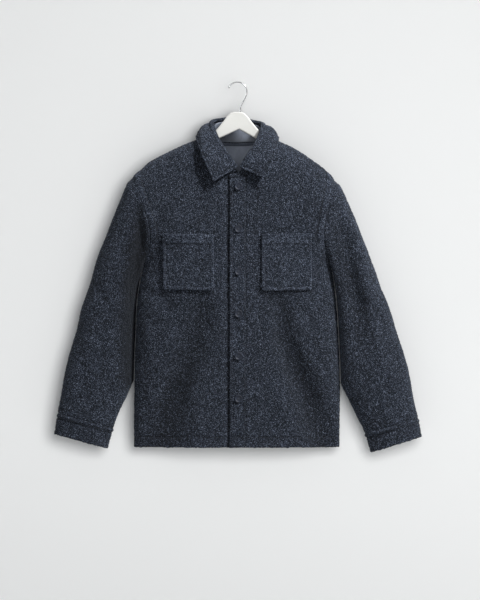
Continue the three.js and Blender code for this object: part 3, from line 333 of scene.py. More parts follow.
# Deeper folds over those of the CAD: a line of points, as there
VALLEYS = {
    "right_front": table(
        "x z width depth",
        (72, -480, 22, 0), (80, -534, 26, 7), (106, -630, 32, 12), (146, -740, 38, 14), (182, -860, 44, 10),
    ),
    "left_front": table(
        "x z width depth",
        (90, -470, 20, 0), (95, -520, 22, 6), (107, -600, 25, 11), (138, -683, 29, 14), (173, -767, 33, 13),
        (206, -860, 38, 10),
    ),
    "left_sleeve": table(
        "x z width depth",
        (212, -270, 18, 2), (220, -313, 20, 5), (242, -398, 23, 9), (258, -468, 24, 11), (276, -541, 24, 10),
        (290, -612, 24, 6), (300, -670, 24, 0),
    ),
}
# Where the right sleeve falls back beside the body, as shares of the greatest depth; shade is the painted shade
# on its front there
TUCK = table(
    "z share width shade",
    (-740, 0, 22, 1), (-690, 0.7, 24, 5), (-560, 0.85, 27, 5), (-480, 0.8, 26, 5), (-430, 0.35, 22, 9),
    (-350, 0.2, 17, 11), (-290, 0.2, 13, 8), (-250, 0.12, 10, 8), (-200, 0, 9, 8),
)
TUCK_DEPTH = 17.0
LEAF_LIFT = 7.0


def mix(a, b, t):
    return a + (b - a) * t


def smoothstep(a, b, t):
    k = np.clip((t - a) / (b - a), 0, 1)
    return k * k * (3 - 2 * k)


def smooth_curve(at, values):
    """A cubic through each value, with the slope between its two neighbours. Values may be points."""
    order = np.argsort(at)
    knots, rows = np.asarray(at, float)[order], np.asarray(values, float)[order]
    last = len(knots) - 1
    before, after = np.maximum(np.arange(last + 1) - 1, 0), np.minimum(np.arange(last + 1) + 1, last)
    wide = (-1,) + (1,) * (rows.ndim - 1)
    slopes = (rows[after] - rows[before]) / (knots[after] - knots[before]).reshape(wide)

    def read(t):
        t = np.asarray(t, float)
        i = np.clip(np.searchsorted(knots, t, side="left") - 1, 0, last - 1)
        span = knots[i + 1] - knots[i]
        k = np.clip((t - knots[i]) / span, 0, 1)
        many = t.shape + (1,) * (rows.ndim - 1)
        k, span = k.reshape(many), span.reshape(many)
        k2, k3 = k * k, k * k * k
        return (
            (2 * k3 - 3 * k2 + 1) * rows[i]
            + (k3 - 2 * k2 + k) * slopes[i] * span
            + (3 * k2 - 2 * k3) * rows[i + 1]
            + (k3 - k2) * slopes[i + 1] * span
        )

    return read


DEPTH_AT = {face: smooth_curve(DEPTHS.z, getattr(DEPTHS, face)) for face in ("front", "back")}
sleeve_depth = smooth_curve(SLEEVE_DEPTHS.s, SLEEVE_DEPTHS.depth)
sleeve_forward = smooth_curve(SLEEVE_DEPTHS.s, SLEEVE_DEPTHS.forward)
for one in SIDES.values():
    one.ridge_at = smooth_curve(one.ridge.x, one.ridge.z)
    one.edge_at = smooth_curve(one.edge.z, one.edge.x)
    one.outer_at = smooth_curve(one.sleeve_outer.z, one.sleeve_outer.x)
    one.inner_at = smooth_curve(one.sleeve_inner.z, one.sleeve_inner.x)


def line_depth(rows, x, z):
    """Depth of a trough along a line of points: at each place, the deepest of its stretches' bells."""
    best = np.zeros(np.broadcast(x, z).shape)
    for i in range(len(rows.x) - 1):
        dx, dz = rows.x[i + 1] - rows.x[i], rows.z[i + 1] - rows.z[i]
        t = np.clip(((x - rows.x[i]) * dx + (z - rows.z[i]) * dz) / (dx * dx + dz * dz), 0, 1)
        away = np.hypot(x - rows.x[i] - t * dx, z - rows.z[i] - t * dz)
        width = mix(rows.width[i], rows.width[i + 1], t)
        depth = mix(rows.depth[i], rows.depth[i + 1], t)
        best = np.maximum(best, depth * np.exp(-((away / width) ** 2)))
    return best


def crease_depth(rows, x, z):
    """Sum of short creases: each is a bell across a bent line and dies out at both of its ends."""
    total = np.zeros(np.broadcast(x, z).shape)
    for i in range(len(rows.x)):
        turn = math.radians(rows.angle[i])
        along = (x - rows.x[i]) * math.cos(turn) + (z - rows.z[i]) * math.sin(turn)
        across = (z - rows.z[i]) * math.cos(turn) - (x - rows.x[i]) * math.sin(turn)
        share = along / rows.half[i]
        away = (across - rows.bend[i] * share**2) / rows.width[i]
        total += rows.depth[i] * np.exp(-(away**2) - share**4)
    return total


# The form of the sewn pieces, as in the CAD


def armhole(side, share, face):
    """The armhole in the front view: the chord from shoulder to underarm, bowed in by a sine."""
    bow = side.bow * (1 if face == "front" else BACK_BOW) * np.sin(np.pi * share**ARMHOLE_DROP)
    x = mix(side.shoulder[0], side.underarm[0], share) - bow
    return x, mix(side.shoulder[1], side.underarm[1], share)


def armhole_share(side, z):
    return np.clip((side.shoulder[1] - z) / (side.shoulder[1] - side.underarm[1]), 0, 1)


def closing_width(side, z, face):
    """Where the body's section would close: at the side, or beyond the armhole where there is one."""
    share = armhole_share(side, z)
    fullness = ARMHOLE_FULLNESS * np.sqrt(1 - share**3)
    beyond = armhole(side, share, face)[0] / (1 - fullness**SIDE_POWER) ** (1 / SIDE_POWER)
    return np.where(z <= side.underarm[1], side.edge_at(z), beyond)


def body_depth(side, x, z, face):
    """Half depth of the body: full depth times a superellipse towards the side and one towards the
    shoulder's ridge, less the folds."""
    away = np.clip(np.abs(x) / closing_width(side, z, face), 0, 1)
    across = (1 - away**SIDE_POWER) ** (1 / SIDE_POWER)
    below = np.clip((side.ridge_at(x) - z) / SHOULDER_ROLL, 0, 1)
    down = (1 - (1 - below) ** SHOULDER_POWER) ** (1 / SHOULDER_POWER)
    folds = line_depth(FOLDS[face, "right" if side.sign < 0 else "left"], x, z)
    return DEPTH_AT[face](z) * across * down - folds * across


def underlap_dip(x):
    return UNDERLAP_DIP * (1 - smoothstep(UNDERLAP_FULL_X, UNDERLAP_START_X, x))


def welt_relief(side, x, z):
    """The stitched allowance beside the armhole: a flat raised strip that fades towards the underarm."""
    share = armhole_share(side, z)
    inside = armhole(side, share, "front")[0] - x
    fade = 1 - smoothstep(WELT_END[0], WELT_END[1], share)
    relief = WELT_HEIGHT * fade * (1 - smoothstep(WELT_WIDTH - WELT_EDGE, WELT_WIDTH, inside))
    return np.where((z < side.underarm[1]) | (z > side.shoulder[1] + WELT_WIDTH), 0, relief)


def points(x, y, z):
    return np.stack(np.broadcast_arrays(x, y, z), -1).astype(float)


def body_point(side, x, z, face, dip=0.0):
    """A point of a body panel: its place in the front view, and the body's depth there."""
    edge = body_depth(side, x, z, face)
    relief = welt_relief(side, x, z) * np.clip(edge / WELT_DEPTH, 0, 1) if face == "front" else 0
    depth = edge - dip + relief
    return points(side.sign * x, -depth if face == "front" else depth, z)


def front_neck_z(x):
    return FRONT_NECK_Z + (NECK_Z - FRONT_NECK_Z) * np.clip(x / NECK_X, 0, 1) ** FRONT_NECK_POWER


def back_neck_z(x):
    return NECK_Z - BACK_NECK_DROP * np.sqrt(1 - np.clip(x / NECK_X, 0, 1) ** 2)


def underarm_row(side):
    return (side.shoulder[1] - side.underarm[1]) / (side.shoulder[1] - HEM_Z)


UNDERARM_ROW = (underarm_row(SIDES["right"]) + underarm_row(SIDES["left"])) / 2


def half_panel(side, face, columns, u, v):
    """Where a point of half a panel stands in the front view, as a Coons patch does: a straight blend
    from shoulder and neckline down to the hem, moved by how far armhole and side bow, less and less
    towards the middle."""
    own = mix(underarm_row(side), UNDERARM_ROW, u) if face == "back" else underarm_row(side)
    v = np.where(v < UNDERARM_ROW, v * own / UNDERARM_ROW, 1 - (1 - v) * (1 - own) / (1 - UNDERARM_ROW))
    side_x = side.edge_at(HEM_Z)
    hem = mix(side_x, columns.hem[-1], u)
    share = np.clip((side_x - hem) / (side_x - columns.hem[0]), 0, 1) ** (1 / HEM_SPACING)
    shoulder_x = mix(side.shoulder[0], NECK_X, share)
    neck_x = np.interp(-hem, -columns.hem, columns.neck)
    neck_z = (front_neck_z if face == "front" else back_neck_z)(neck_x)
    on_shoulder = hem >= columns.hem[0]
    top_x = np.where(on_shoulder, shoulder_x, neck_x)
    top_z = np.where(on_shoulder, side.ridge_at(shoulder_x), neck_z)
    row_z = mix(side.shoulder[1], HEM_Z, v)
    row_x = np.where(
        row_z > side.underarm[1], armhole(side, armhole_share(side, row_z), face)[0], side.edge_at(row_z)
    )
    bowed = row_x - mix(side.shoulder[0], side_x, v)
    return mix(top_x, hem, v) + (1 - u) * bowed, mix(top_z, HEM_Z, v)


def shoulder_break(side, columns):
    """The column at which shoulder and neckline meet."""
    side_x = float(side.edge_at(HEM_Z))
    return (side_x - columns.hem[0]) / (side_x - columns.hem[-1])


def right_front(u, v):
    x, z = half_panel(SIDES["right"], "front", RIGHT_COLUMNS, u, v)
    return body_point(SIDES["right"], x, z, "front", underlap_dip(x))


def left_front(u, v):
    x, z = half_panel(SIDES["left"], "front", FRONT_COLUMNS, u, v)
    return body_point(SIDES["left"], x, z, "front")


def placket(u, v):
    """The left front's turned edge, which lies over the right front: from its stitching to its free edge."""
    x = mix(PLACKET_SEAM_X, PLACKET_EDGE_X, u)
    return body_point(SIDES["left"], x, mix(front_neck_z(x), HEM_Z, v), "front")


def back(u, v):
    """Both halves of the back, from the right side seam, 0, over the centre to the left one, 1."""
    right = half_panel(SIDES["right"], "back", BACK_COLUMNS, np.clip(2 * u, 0, 1), v)
    left = half_panel(SIDES["left"], "back", BACK_COLUMNS, np.clip(2 - 2 * u, 0, 1), v)
    is_right = (u <= 0.5)[..., None]
    return np.where(
        is_right, body_point(SIDES["right"], *right, "back"), body_point(SIDES["left"], *left, "back")
    )


def ring_point(side, outer, inner, depth, forward, angle):
    """A sleeve's section: from the outer edge over the front to the inner edge and back behind it."""
    share = (1 - np.cos(angle)) / 2
    swell = np.sign(np.sin(angle)) * np.abs(np.sin(angle)) ** SLEEVE_ROUNDNESS
    return points(
        side.sign * mix(outer[0], inner[0], share),
        -depth * swell - forward,
        mix(outer[1], inner[1], share),
    )


def sleeve_ring(side, s, angle):
    outer_z = mix(side.shoulder[1], side.sleeve_end[0], s)
    inner_z = mix(side.underarm[1], side.sleeve_end[1], s)
    start = np.clip(s / SLEEVE_START, 0, 1)
    free = side.sleeve_inner.z.max()
    inner_x = np.where(inner_z > free, side.edge_at(inner_z) + SLEEVE_CLEAR, side.inner_at(inner_z))
    outer = (mix(side.shoulder[0], side.outer_at(outer_z), start), outer_z)
    inner = (mix(side.underarm[0], inner_x, start), inner_z)
    return ring_point(side, outer, inner, sleeve_depth(s), sleeve_forward(s), angle)


def armhole_ring(side, angle):
    share = (1 - np.cos(angle)) / 2
    front = body_point(side, *armhole(side, share, "front"), "front")
    behind = body_point(side, *armhole(side, share, "back"), "back")
    return np.where((np.sin(angle) >= 0)[..., None], front, behind)


def sleeve(name):
    """Rings that start on the armhole and turn, by s, to the cuff, with the armhole's shape fading out."""
    side = SIDES[name]

    def surface(u, v):
        angle = 2 * np.pi * u
        p = sleeve_ring(side, v, angle)
        grip = 1 - smoothstep(0, SLEEVE_GRIP, v)
        p = p + (armhole_ring(side, angle) - sleeve_ring(side, 0 * v, angle)) * grip[..., None]
        facing = np.maximum(0, np.sin(angle)) * smoothstep(0, SLEEVE_FOLD_START, v)
        p[..., 1] += line_depth(FOLDS["sleeve", name], side.sign * p[..., 0], p[..., 2]) * facing
        return p

    return surface


def cuff(name):
    """From the sleeve's last ring, straight to the cuff's own lower ring, a little prouder all round."""
    side = SIDES[name]
    body = sleeve(name)
    turn = np.linspace(0, 1, 64, endpoint=False)
    middle = body(turn, np.ones_like(turn)).mean(0)

    def surface(u, v):
        angle = 2 * np.pi * u
        top = body(u, np.ones_like(v))
        low = ring_point(side, side.cuff_outer, side.cuff_inner, CUFF_DEPTH, sleeve_forward(1.0), angle)
        proud = top - middle
        proud = proud / np.linalg.norm(proud, axis=-1, keepdims=True)
        return mix(top, low, v[..., None]) + proud * CUFF_PROUD

    return surface


def collar_out(side):
    """At each of the collar's columns, the direction out of its loop in plan."""
    before = np.maximum(np.arange(len(COLLAR.x)) - 1, 0)
    after = np.minimum(np.arange(len(COLLAR.x)) + 1, len(COLLAR.x) - 1)
    out = np.stack([COLLAR.y[before] - COLLAR.y[after], COLLAR.x[after] - COLLAR.x[before]], -1)
    out[0], out[-1] = (0, -1), (0, 1)
    inward = out[:, 0] * COLLAR.x + out[:, 1] * COLLAR.y < 0
    inward[0] = False
    out[inward] *= -1
    out /= np.linalg.norm(out, axis=1, keepdims=True)
    slope = (COLLAR.z[after] - COLLAR.z[before]) / np.hypot(
        COLLAR.x[after] - COLLAR.x[before], COLLAR.y[after] - COLLAR.y[before]
    )
    lean = ROLL_LEAN * np.hypot(1, slope)
    return points(out[:, 0] * side.sign, out[:, 1], 0), lean


def band_top(side):
    """The top of the band's outside: the crest of the roll, less the roll."""
    out, lean = collar_out(side)
    column = np.arange(len(COLLAR.x))
    shift = LEFT_SHIFT * np.clip(1 - column / SIDE_COLUMN, 0, 1) if side.sign > 0 else 0
    x = side.sign * COLLAR.x + shift
    x[0] = COLLAR_CENTRE_X
    crest = COLLAR.z - (COLLAR.drop if side.sign > 0 else 0)
    forward = np.where((column == 0) & (side.sign > 0), LEFT_FORWARD, 0)
    top = points(x, COLLAR.y - forward, crest - COLLAR.roll - SEAM_GAP - lean)
    return top + out * (CLOTH - COLLAR.roll)[:, None]


def neck_points(side, dips):
    front = body_point(
        side, COLLAR.neck, front_neck_z(COLLAR.neck), "front", underlap_dip(COLLAR.neck) if dips else 0.0
    )
    behind = body_point(side, COLLAR.neck, back_neck_z(COLLAR.neck), "back")
    return np.where(COLLAR.front[:, None] > 0, front, behind)


def chord(rows):
    """Distances along a row of points, as shares of the whole."""
    steps = np.linalg.norm(np.diff(rows, axis=0), axis=1)
    return np.concatenate([[0], np.cumsum(steps)]) / steps.sum()


def band_ends(name):
    """The band's end at the front edge: its foot on the neckline and its top."""
    side = SIDES[name]
    x, dip = (UNDERLAP_X, UNDERLAP_DIP) if name == "right" else (PLACKET_EDGE_X, 0.0)
    low = body_point(side, x, front_neck_z(x), "front", dip)
    top = low.copy()
    top[2] = band_top(side)[0, 2] - BAND_END_DROP
    top[1] += LEFT_FORWARD if dip else -LEFT_FORWARD / 4
    return low, top


def band_loop():
    tops, lows = {}, {}
    for name, side in SIDES.items():
        low, top = band_ends(name)
        own = band_top(side)
        if name == "right":
            own[:, 1] += underlap_dip(COLLAR.neck) * (COLLAR.front > 0)
        tops[name] = np.concatenate([[top], own])
        lows[name] = np.concatenate([[low], neck_points(side, name == "right")])
    top = np.concatenate([tops["right"], tops["left"][-2::-1]])
    low = np.concatenate([lows["right"], lows["left"][-2::-1]])
    at = chord((top + low) / 2)
    return smooth_curve(at, top), smooth_curve(at, low), at


BAND_TOP, BAND_LOW, BAND_AT = band_loop()


def band(u, v):
    """Straight from the top of the band down to the neckline."""
    return mix(BAND_TOP(u), BAND_LOW(u), v[..., None])


def leaf_columns(name):
    """What each of the leaf's columns is drawn from: the roll's foot, direction, radius, bow and edge."""
    side = SIDES[name]
    out, lean = collar_out(side)
    is_right = name == "right"
    dip = underlap_dip(COLLAR.neck) * (COLLAR.front > 0) * is_right
    roll = COLLAR.roll + dip / UNDERLAP_DIP * RIGHT_ROLL_EXTRA
    base = band_top(side)
    base[0] = mix(base[0], base[1], LEAF_START)
    base[:, 1] += dip
    base = base - out * CLOTH
    base[:, 2] += SEAM_GAP + lean
    end_x, end_z = (COLLAR.rx, COLLAR.rz) if is_right else (COLLAR.lx, COLLAR.lz)
    end = points(side.sign * end_x, COLLAR.ey, end_z)
    return np.concatenate([base, out, end, np.stack([roll, COLLAR.full, COLLAR.lift], -1)], axis=1)


def leaf_curve():
    rows = np.concatenate([leaf_columns("right"), leaf_columns("left")[-2::-1]])
    at = chord((rows[:, 0:3] + rows[:, 6:9]) / 2)
    return smooth_curve(at, rows)


LEAF = leaf_curve()


def leaf(u, v):
    """An arc of the roll's radius over the band's top, then a bowed quadratic curve down to the edge."""
    row = LEAF(u)
    base, out, end = row[..., 0:3], row[..., 3:6], row[..., 6:9]
    roll, full, lift = row[..., 9:10], row[..., 10:11], row[..., 11:12]
    out = out / np.linalg.norm(out, axis=-1, keepdims=True)
    up = np.array([0.0, 0.0, 1.0])
    angle = np.pi * np.clip(v / ROLL_SHARE, 0, 1)[..., None]
    arc = base + out * roll * (1 - np.cos(angle)) + up * roll * np.sin(angle)
    start = base + out * roll * 2
    bow = mix(start, end, LEAF_BOW) + out * full + up * lift
    t = np.clip((v - ROLL_SHARE) / (1 - ROLL_SHARE), 0, 1)[..., None]
    fall = (1 - t) ** 2 * start + 2 * t * (1 - t) * bow + t**2 * end
    return np.where(v[..., None] < ROLL_SHARE, arc, fall)


def body_normal(side, x, z, face):
    """Direction out of a body panel, from the slope of its depth."""
    step = 2.0
    dx = (body_depth(side, x + step, z, face) - body_depth(side, x - step, z, face)) / (2 * step)
    dz = (body_depth(side, x, z + step, face) - body_depth(side, x, z - step, face)) / (2 * step)
    n = points(-dx * side.sign, -1.0 if face == "front" else 1.0, -dz)
    return n / np.linalg.norm(n, axis=-1, keepdims=True)


def pocket_place(name, u, v):
    """Where a point of a pocket stands in the front view: a rectangle, skewed, with its lower corners cut."""
    side, shape = SIDES[name], POCKETS[name]
    height = shape.top - shape.bottom
    cut = np.maximum(0, (v - 1) * height + POCKET_CORNER)
    half = shape.width / 2 - cut * POCKET_CORNER_SLOPE
    return shape.x + mix(half, -half, u), mix(shape.top, shape.bottom, v) + shape.skew * (u - 0.5) * side.sign


def pocket(name):
    def surface(u, v):
        side = SIDES[name]
        x, z = pocket_place(name, u, v)
        lift = LAYER_GAP + CLOTH
        return body_point(side, x, z, "front") + body_normal(side, x, z, "front") * lift

    return surface


# From a surface to a wall


def value_noise(p, size, seed):
    """Smooth random numbers from -1 to 1: those at the corners of a point's cell, blended by 3t^2 - 2t^3."""
    numbers = np.random.default_rng(seed).uniform(-1, 1, 65536)
    q = p / size
    cell = np.floor(q).astype(np.int64)
    t = q - cell
    t = t * t * (3 - 2 * t)
    total = np.zeros(p.shape[:-1])
    for corner in itertools.product((0, 1), repeat=3):
        c = cell + np.array(corner)
        key = (c[..., 0] * 73856093) ^ (c[..., 1] * 19349663) ^ (c[..., 2] * 83492791)
        weight = np.prod(np.where(corner, t, 1 - t), axis=-1)
        total += weight * numbers[key & 65535]
    return total


def curls(p):
    """Height of the curly yarn, from 0 to 1: highest along the lines where a warped noise is zero, which
    close on themselves as the yarn's loops do."""
    warp = np.stack([value_noise(p, 8.0, seed) for seed in (11, 12, 13)], -1)
    lines = np.abs(value_noise(p + warp * 2.6, NUB, 14))
    return np.clip(1 - lines * 2.4, 0, 1)


def even_steps(sample, axis, breaks, spacing):
    """Parameters along one axis at which the surface's steps are even, with one at each break."""
    length = np.linalg.norm(np.diff(sample, axis=axis), axis=-1).mean(axis=1 - axis)
    t = np.linspace(0, 1, len(length) + 1)
    run = np.concatenate([[0], np.cumsum(length)])
    steps = [np.zeros(1)]
    stops = [0.0, *breaks, 1.0]
    for a, b in zip(stops[:-1], stops[1:]):
        ends = np.interp([a, b], t, run)
        count = max(2, 2 * round((ends[1] - ends[0]) / spacing / 2))
        steps.append(np.interp(np.linspace(*ends, count + 1)[1:], run, t))
    steps[-1][-1] = 1.0
    return np.concatenate(steps)


SAMPLES = 400


def sampled(surface, spacing, across=(), down=(), span=((0, 1), (0, 1))):
    """A grid of a surface's points with even steps, and the parameters of its columns and rows."""
    (u0, u1), (v0, v1) = span
    part = lambda u, v: surface(mix(u0, u1, u), mix(v0, v1, v))
    t = np.linspace(0, 1, SAMPLES + 1)
    rough = part(*np.meshgrid(t, t))
    u = even_steps(rough, 1, across, spacing)
    v = even_steps(rough, 0, down, spacing)
    return part(*np.meshgrid(u, v)), u, v


def normals_of(p, closed, centre):
    """Unit normals of a grid of points, turned away from a centre."""
    if closed:
        ring = p[:, :-1]
        du = np.roll(ring, -1, 1) - np.roll(ring, 1, 1)
        du = np.concatenate([du, du[:, :1]], 1)
    else:
        du = np.gradient(p, axis=1)
    n = np.cross(du, np.gradient(p, axis=0))
    n /= np.maximum(np.linalg.norm(n, axis=-1, keepdims=True), 1e-9)
    facing = np.einsum("ijk,ijk->ij", n, p - centre).sum()
    return n if facing > 0 else -n


def edge_distances(p):
    """For each of a grid's edges, how far each point is from it along the grid."""
    down = np.concatenate([0 * p[:1, :, 0], np.cumsum(np.linalg.norm(np.diff(p, axis=0), axis=-1), 0)])
    over = np.concatenate([0 * p[:, :1, 0], np.cumsum(np.linalg.norm(np.diff(p, axis=1), axis=-1), 1)], 1)
    return {"top": down, "bottom": down[-1:] - down, "start": over, "end": over[:, -1:] - over}


def shortest(distances, names):
    shape = distances["top"].shape
    return np.min([distances[n] for n in names], axis=0) if names else np.full(shape, 1e3)


def pulled_back(p, names, pull):
    """The points of the named edges moved back along the surface, by one distance or one for each edge."""
    q = p.copy()
    pulls = pull if isinstance(pull, dict) else dict.fromkeys(names, pull)
    for name in names:
        edge, beside = {
            "top": ((0,), (1,)), "bottom": ((-1,), (-2,)),
            "start": ((slice(None), 0), (slice(None), 1)), "end": ((slice(None), -1), (slice(None), -2)),
        }[name]
        step = p[beside] - p[edge]
        q[edge] = q[edge] + step / np.maximum(np.linalg.norm(step, axis=-1, keepdims=True), 1e-9) * pulls[name]
    return q


def edge_out(p, distances, names):
    """Along the surface and out of it, at the nearest of its free edges."""
    down, over = np.gradient(p, axis=0), np.gradient(p, axis=1)
    ways = {"top": -down, "bottom": down, "start": -over, "end": over}
    total = np.zeros_like(p)
    for name in names:
        way = ways[name] / np.maximum(np.linalg.norm(ways[name], axis=-1, keepdims=True), 1e-9)
        total += way * (1 - smoothstep(0, 6, distances[name]))[..., None]
    return total


def wall_faces(rows, columns, closed):
    """Corner numbers of a wall's faces: quads on the fine outside and the inside, which has half as many
    steps, and three triangles for each inside step along the rim."""
    outer = np.arange(rows * columns).reshape(rows, columns)
    inner_rows, inner_columns = (rows - 1) // 2 + 1, (columns // 2 if closed else (columns - 1) // 2 + 1)
    inner = rows * columns + np.arange(inner_rows * inner_columns).reshape(inner_rows, inner_columns)
    if closed:
        outer = np.concatenate([outer, outer[:, :1]], 1)
        inner = np.concatenate([inner, inner[:, :1]], 1)
    quads = np.concatenate([
        np.stack([outer[:-1, :-1], outer[1:, :-1], outer[1:, 1:], outer[:-1, 1:]], -1).reshape(-1, 4),
        np.stack([inner[:-1, :-1], inner[:-1, 1:], inner[1:, 1:], inner[1:, :-1]], -1).reshape(-1, 4),
    ])
    lines = [(outer[0], inner[0]), (outer[-1, ::-1], inner[-1, ::-1])]
    if not closed:
        lines += [(outer[::-1, 0], inner[::-1, 0]), (outer[:, -1], inner[:, -1])]
    rims = []
    for o, i in lines:
        a, b, c = o[:-2:2], o[1:-1:2], o[2::2]
        rims += [np.stack([a, b, i[:-1]], -1), np.stack([b, i[1:], i[:-1]], -1), np.stack([b, c, i[1:]], -1)]
    return quads, np.concatenate(rims)


def put_mesh(name, verts, quads, triangles, attributes=None):
    """A mesh object in metres from arrays of corners and faces, with its faces turned outwards."""
    verts = np.asarray(verts, float).reshape(-1, 3)
    all_triangles = np.concatenate([quads[:, [0, 1, 2]], quads[:, [0, 2, 3]], triangles])
    a, b, c = (verts[all_triangles[:, k]] for k in range(3))
    if np.einsum("ij,ij->i", a, np.cross(b, c)).sum() < 0:
        quads, triangles = quads[:, ::-1], triangles[:, ::-1]
    mesh = bpy.data.meshes.new(name)
    mesh.vertices.add(len(verts))
    mesh.vertices.foreach_set("co", (verts * MM).astype(np.float32).ravel())
    corners = np.concatenate([quads.ravel(), triangles.ravel()]).astype(np.int32)
    mesh.loops.add(len(corners))
    mesh.loops.foreach_set("vertex_index", corners)
    sizes = np.concatenate([np.full(len(quads), 4), np.full(len(triangles), 3)])
    mesh.polygons.add(len(sizes))
    mesh.polygons.foreach_set("loop_start", (np.cumsum(sizes) - sizes).astype(np.int32))
    mesh.polygons.foreach_set("use_smooth", np.ones(len(sizes), bool))
    for key, values in (attributes or {}).items():
        mesh.attributes.new(key, "FLOAT", "POINT").data.foreach_set("value", values.astype(np.float32))
    mesh.update(calc_edges=True)
    mesh.validate()
    made = bpy.data.objects.new(name, mesh)
    bpy.context.scene.collection.objects.link(made)
    return made


def thin_wall(name, p, closed, thick, sewn, free=(), drape=0.0, relief=0.0, pale=0.0, nubs=1.0, calm=1.0,
              tufts=1.0, pull=SEAM_PULL, seam_sink=SEAM_SINK, centre=None):
    """A sewn piece from its surface. The whole wall follows the drape and a slow swell, which calm fades. The
    outside alone has the relief, the nubs and rounded free edges, it sinks into each sewn edge, and the wall
    thins there. Pale is painted shading added to the pale curls: painted shade where it is below nought,
    painted highlight where it is above."""
    if centre is None:
        centre = np.array([p[..., 0].mean(), 0.0, p[..., 2].mean()])
    distances = edge_distances(p)
    seam, edge = shortest(distances, sewn), shortest(distances, free)
    swell = SWELL_HEIGHT * value_noise(p, SWELL, 22) * calm * smoothstep(0, 20, seam)
    move = drape * smoothstep(0, 18, seam) + swell
    p = p + normals_of(p, closed, centre) * move[..., None]
    p = pulled_back(p, [*sewn, *free] if not closed else [*sewn], pull)
    n = normals_of(p, closed, centre)
    height = curls(p)
    lumps = NUB_HEIGHT * (height - 0.45) + CLUMP_HEIGHT * value_noise(p, CLUMP, 21)
    lumps = lumps * nubs * mix(0.3, 1, smoothstep(0, SEAM_WIDTH, seam))
    sink = seam_sink * (1 - smoothstep(0, SEAM_WIDTH, seam))
    rounding = EDGE_SINK * np.sqrt(np.clip(1 - edge / EDGE_ROUND, 0, 1)) ** 3
    fringe = EDGE_NUB * (height - 0.5) + EDGE_TUFT * value_noise(p, TUFT, 23)
    fringe = fringe * nubs * tufts * smoothstep(0, 9, seam)
    out = edge_out(p, distances, free) * fringe[..., None]
    outer = p + n * (lumps + relief * smoothstep(0, 3, seam) - sink - rounding)[..., None] + out
    depth = mix(SEAM_CLOTH, thick, smoothstep(0, 9, seam)) + sink * 0.6 - rounding * smoothstep(0, 5, seam)
    inner = p - n * depth[..., None] + out * 0.5
    # the curls' own tone, with the painted shade and painted highlight of pale added on top
    crest = height + pale
    if closed:
        outer, inner, crest = outer[:, :-1], inner[:, :-1], crest[:, :-1]
    quads, triangles = wall_faces(*outer.shape[:2], closed)
    inner = inner[::2, ::2]
    crest = np.concatenate([crest.ravel(), np.full(inner.size // 3, 0.3)])
    verts = np.concatenate([outer.reshape(-1, 3), inner.reshape(-1, 3)])
    return put_mesh(name, verts, quads, triangles, {"crest": crest})


def bell(distance, width=STITCH_WIDTH):
    return np.exp(-((distance / width) ** 2))


# The panels, each with its own relief


def pocket_inside(name, x, z):
    """How far inside a pocket's outline a place is; negative outside."""
    shape = POCKETS[name]
    return np.minimum(shape.width / 2 - np.abs(x - shape.x), np.minimum(shape.top - z, z - shape.bottom))


def front_finish(name, p):
    """A front's drape, relief, pale and nubs. It is drawn in along the stitching of armhole and hem, round
    the pocket, and on the right beside the placket's edge. Pale is painted shading: painted shade in each
    groove and fold, painted highlight on the welt's strip and along the hem's edge."""
    side = SIDES[name]
    x, z = side.sign * p[..., 0], p[..., 2]
    share = armhole_share(side, z)
    inside = armhole(side, share, "front")[0] - x
    beside = (1 - smoothstep(0.62, 0.86, share)) * (z > side.underarm[1])
    welt, hem = bell(inside - WELT_WIDTH + 2, 2.4) * beside, bell(z - HEM_Z - HEM_STITCH, 2.4)
    hollow = bell(x - PLACKET_EDGE_OVER, 1.9) if name == "right" else 0.0
    in_pocket = pocket_inside(name, x, z)
    round_pocket = bell(in_pocket + 1.5, 2.6)
    valley = line_depth(VALLEYS[name + "_front"], x, z)
    drape = -(crease_depth(CREASES[name + "_front"], x, z) + valley) * (1 - smoothstep(-16, -2, in_pocket))
    relief = -1.6 * welt - 1.4 * hem - 1.1 * hollow - 0.4 * round_pocket
    strip = smoothstep(0, 4, inside) * (1 - smoothstep(WELT_WIDTH - 6, WELT_WIDTH - 3, inside)) * beside
    # painted highlight on the raised welt strip and along the hem's fold; painted shade in the welt, hem and
    # placket grooves and in the deep folds
    pale = 0.3 * strip - 0.7 * welt - 0.6 * hem - 0.9 * hollow + 0.2 * bell(z - HEM_Z - 6, 8) - 0.06 * valley
    nubs = 1 - 0.9 * smoothstep(-4, 0.5, in_pocket)
    if name == "right":
        nubs = nubs * (1 - 0.9 * (1 - smoothstep(PLACKET_SEAM_X - 4, PLACKET_SEAM_X + 6, x)))
    neck = np.abs(z - np.where(x < NECK_X, front_neck_z(x), 1e3))
    nubs = nubs * (1 - 0.8 * (1 - smoothstep(0, 14, neck)))
    return dict(drape=drape, relief=relief, pale=pale, nubs=nubs, calm=np.clip(nubs, 0, 1))


def make_front(name):
    side = SIDES[name]
    surface, columns = (right_front, RIGHT_COLUMNS) if name == "right" else (left_front, FRONT_COLUMNS)
    p, _, _ = sampled(surface, 2.15, across=[shoulder_break(side, columns)], down=[UNDERARM_ROW])
    sewn = ("top", "start") if name == "right" else ("top", "start", "end")
    free = ("bottom", "end") if name == "right" else ("bottom",)
    return thin_wall(name + "_front_cloth", p, False, CLOTH, sewn, free, seam_sink=0.8, **front_finish(name, p))


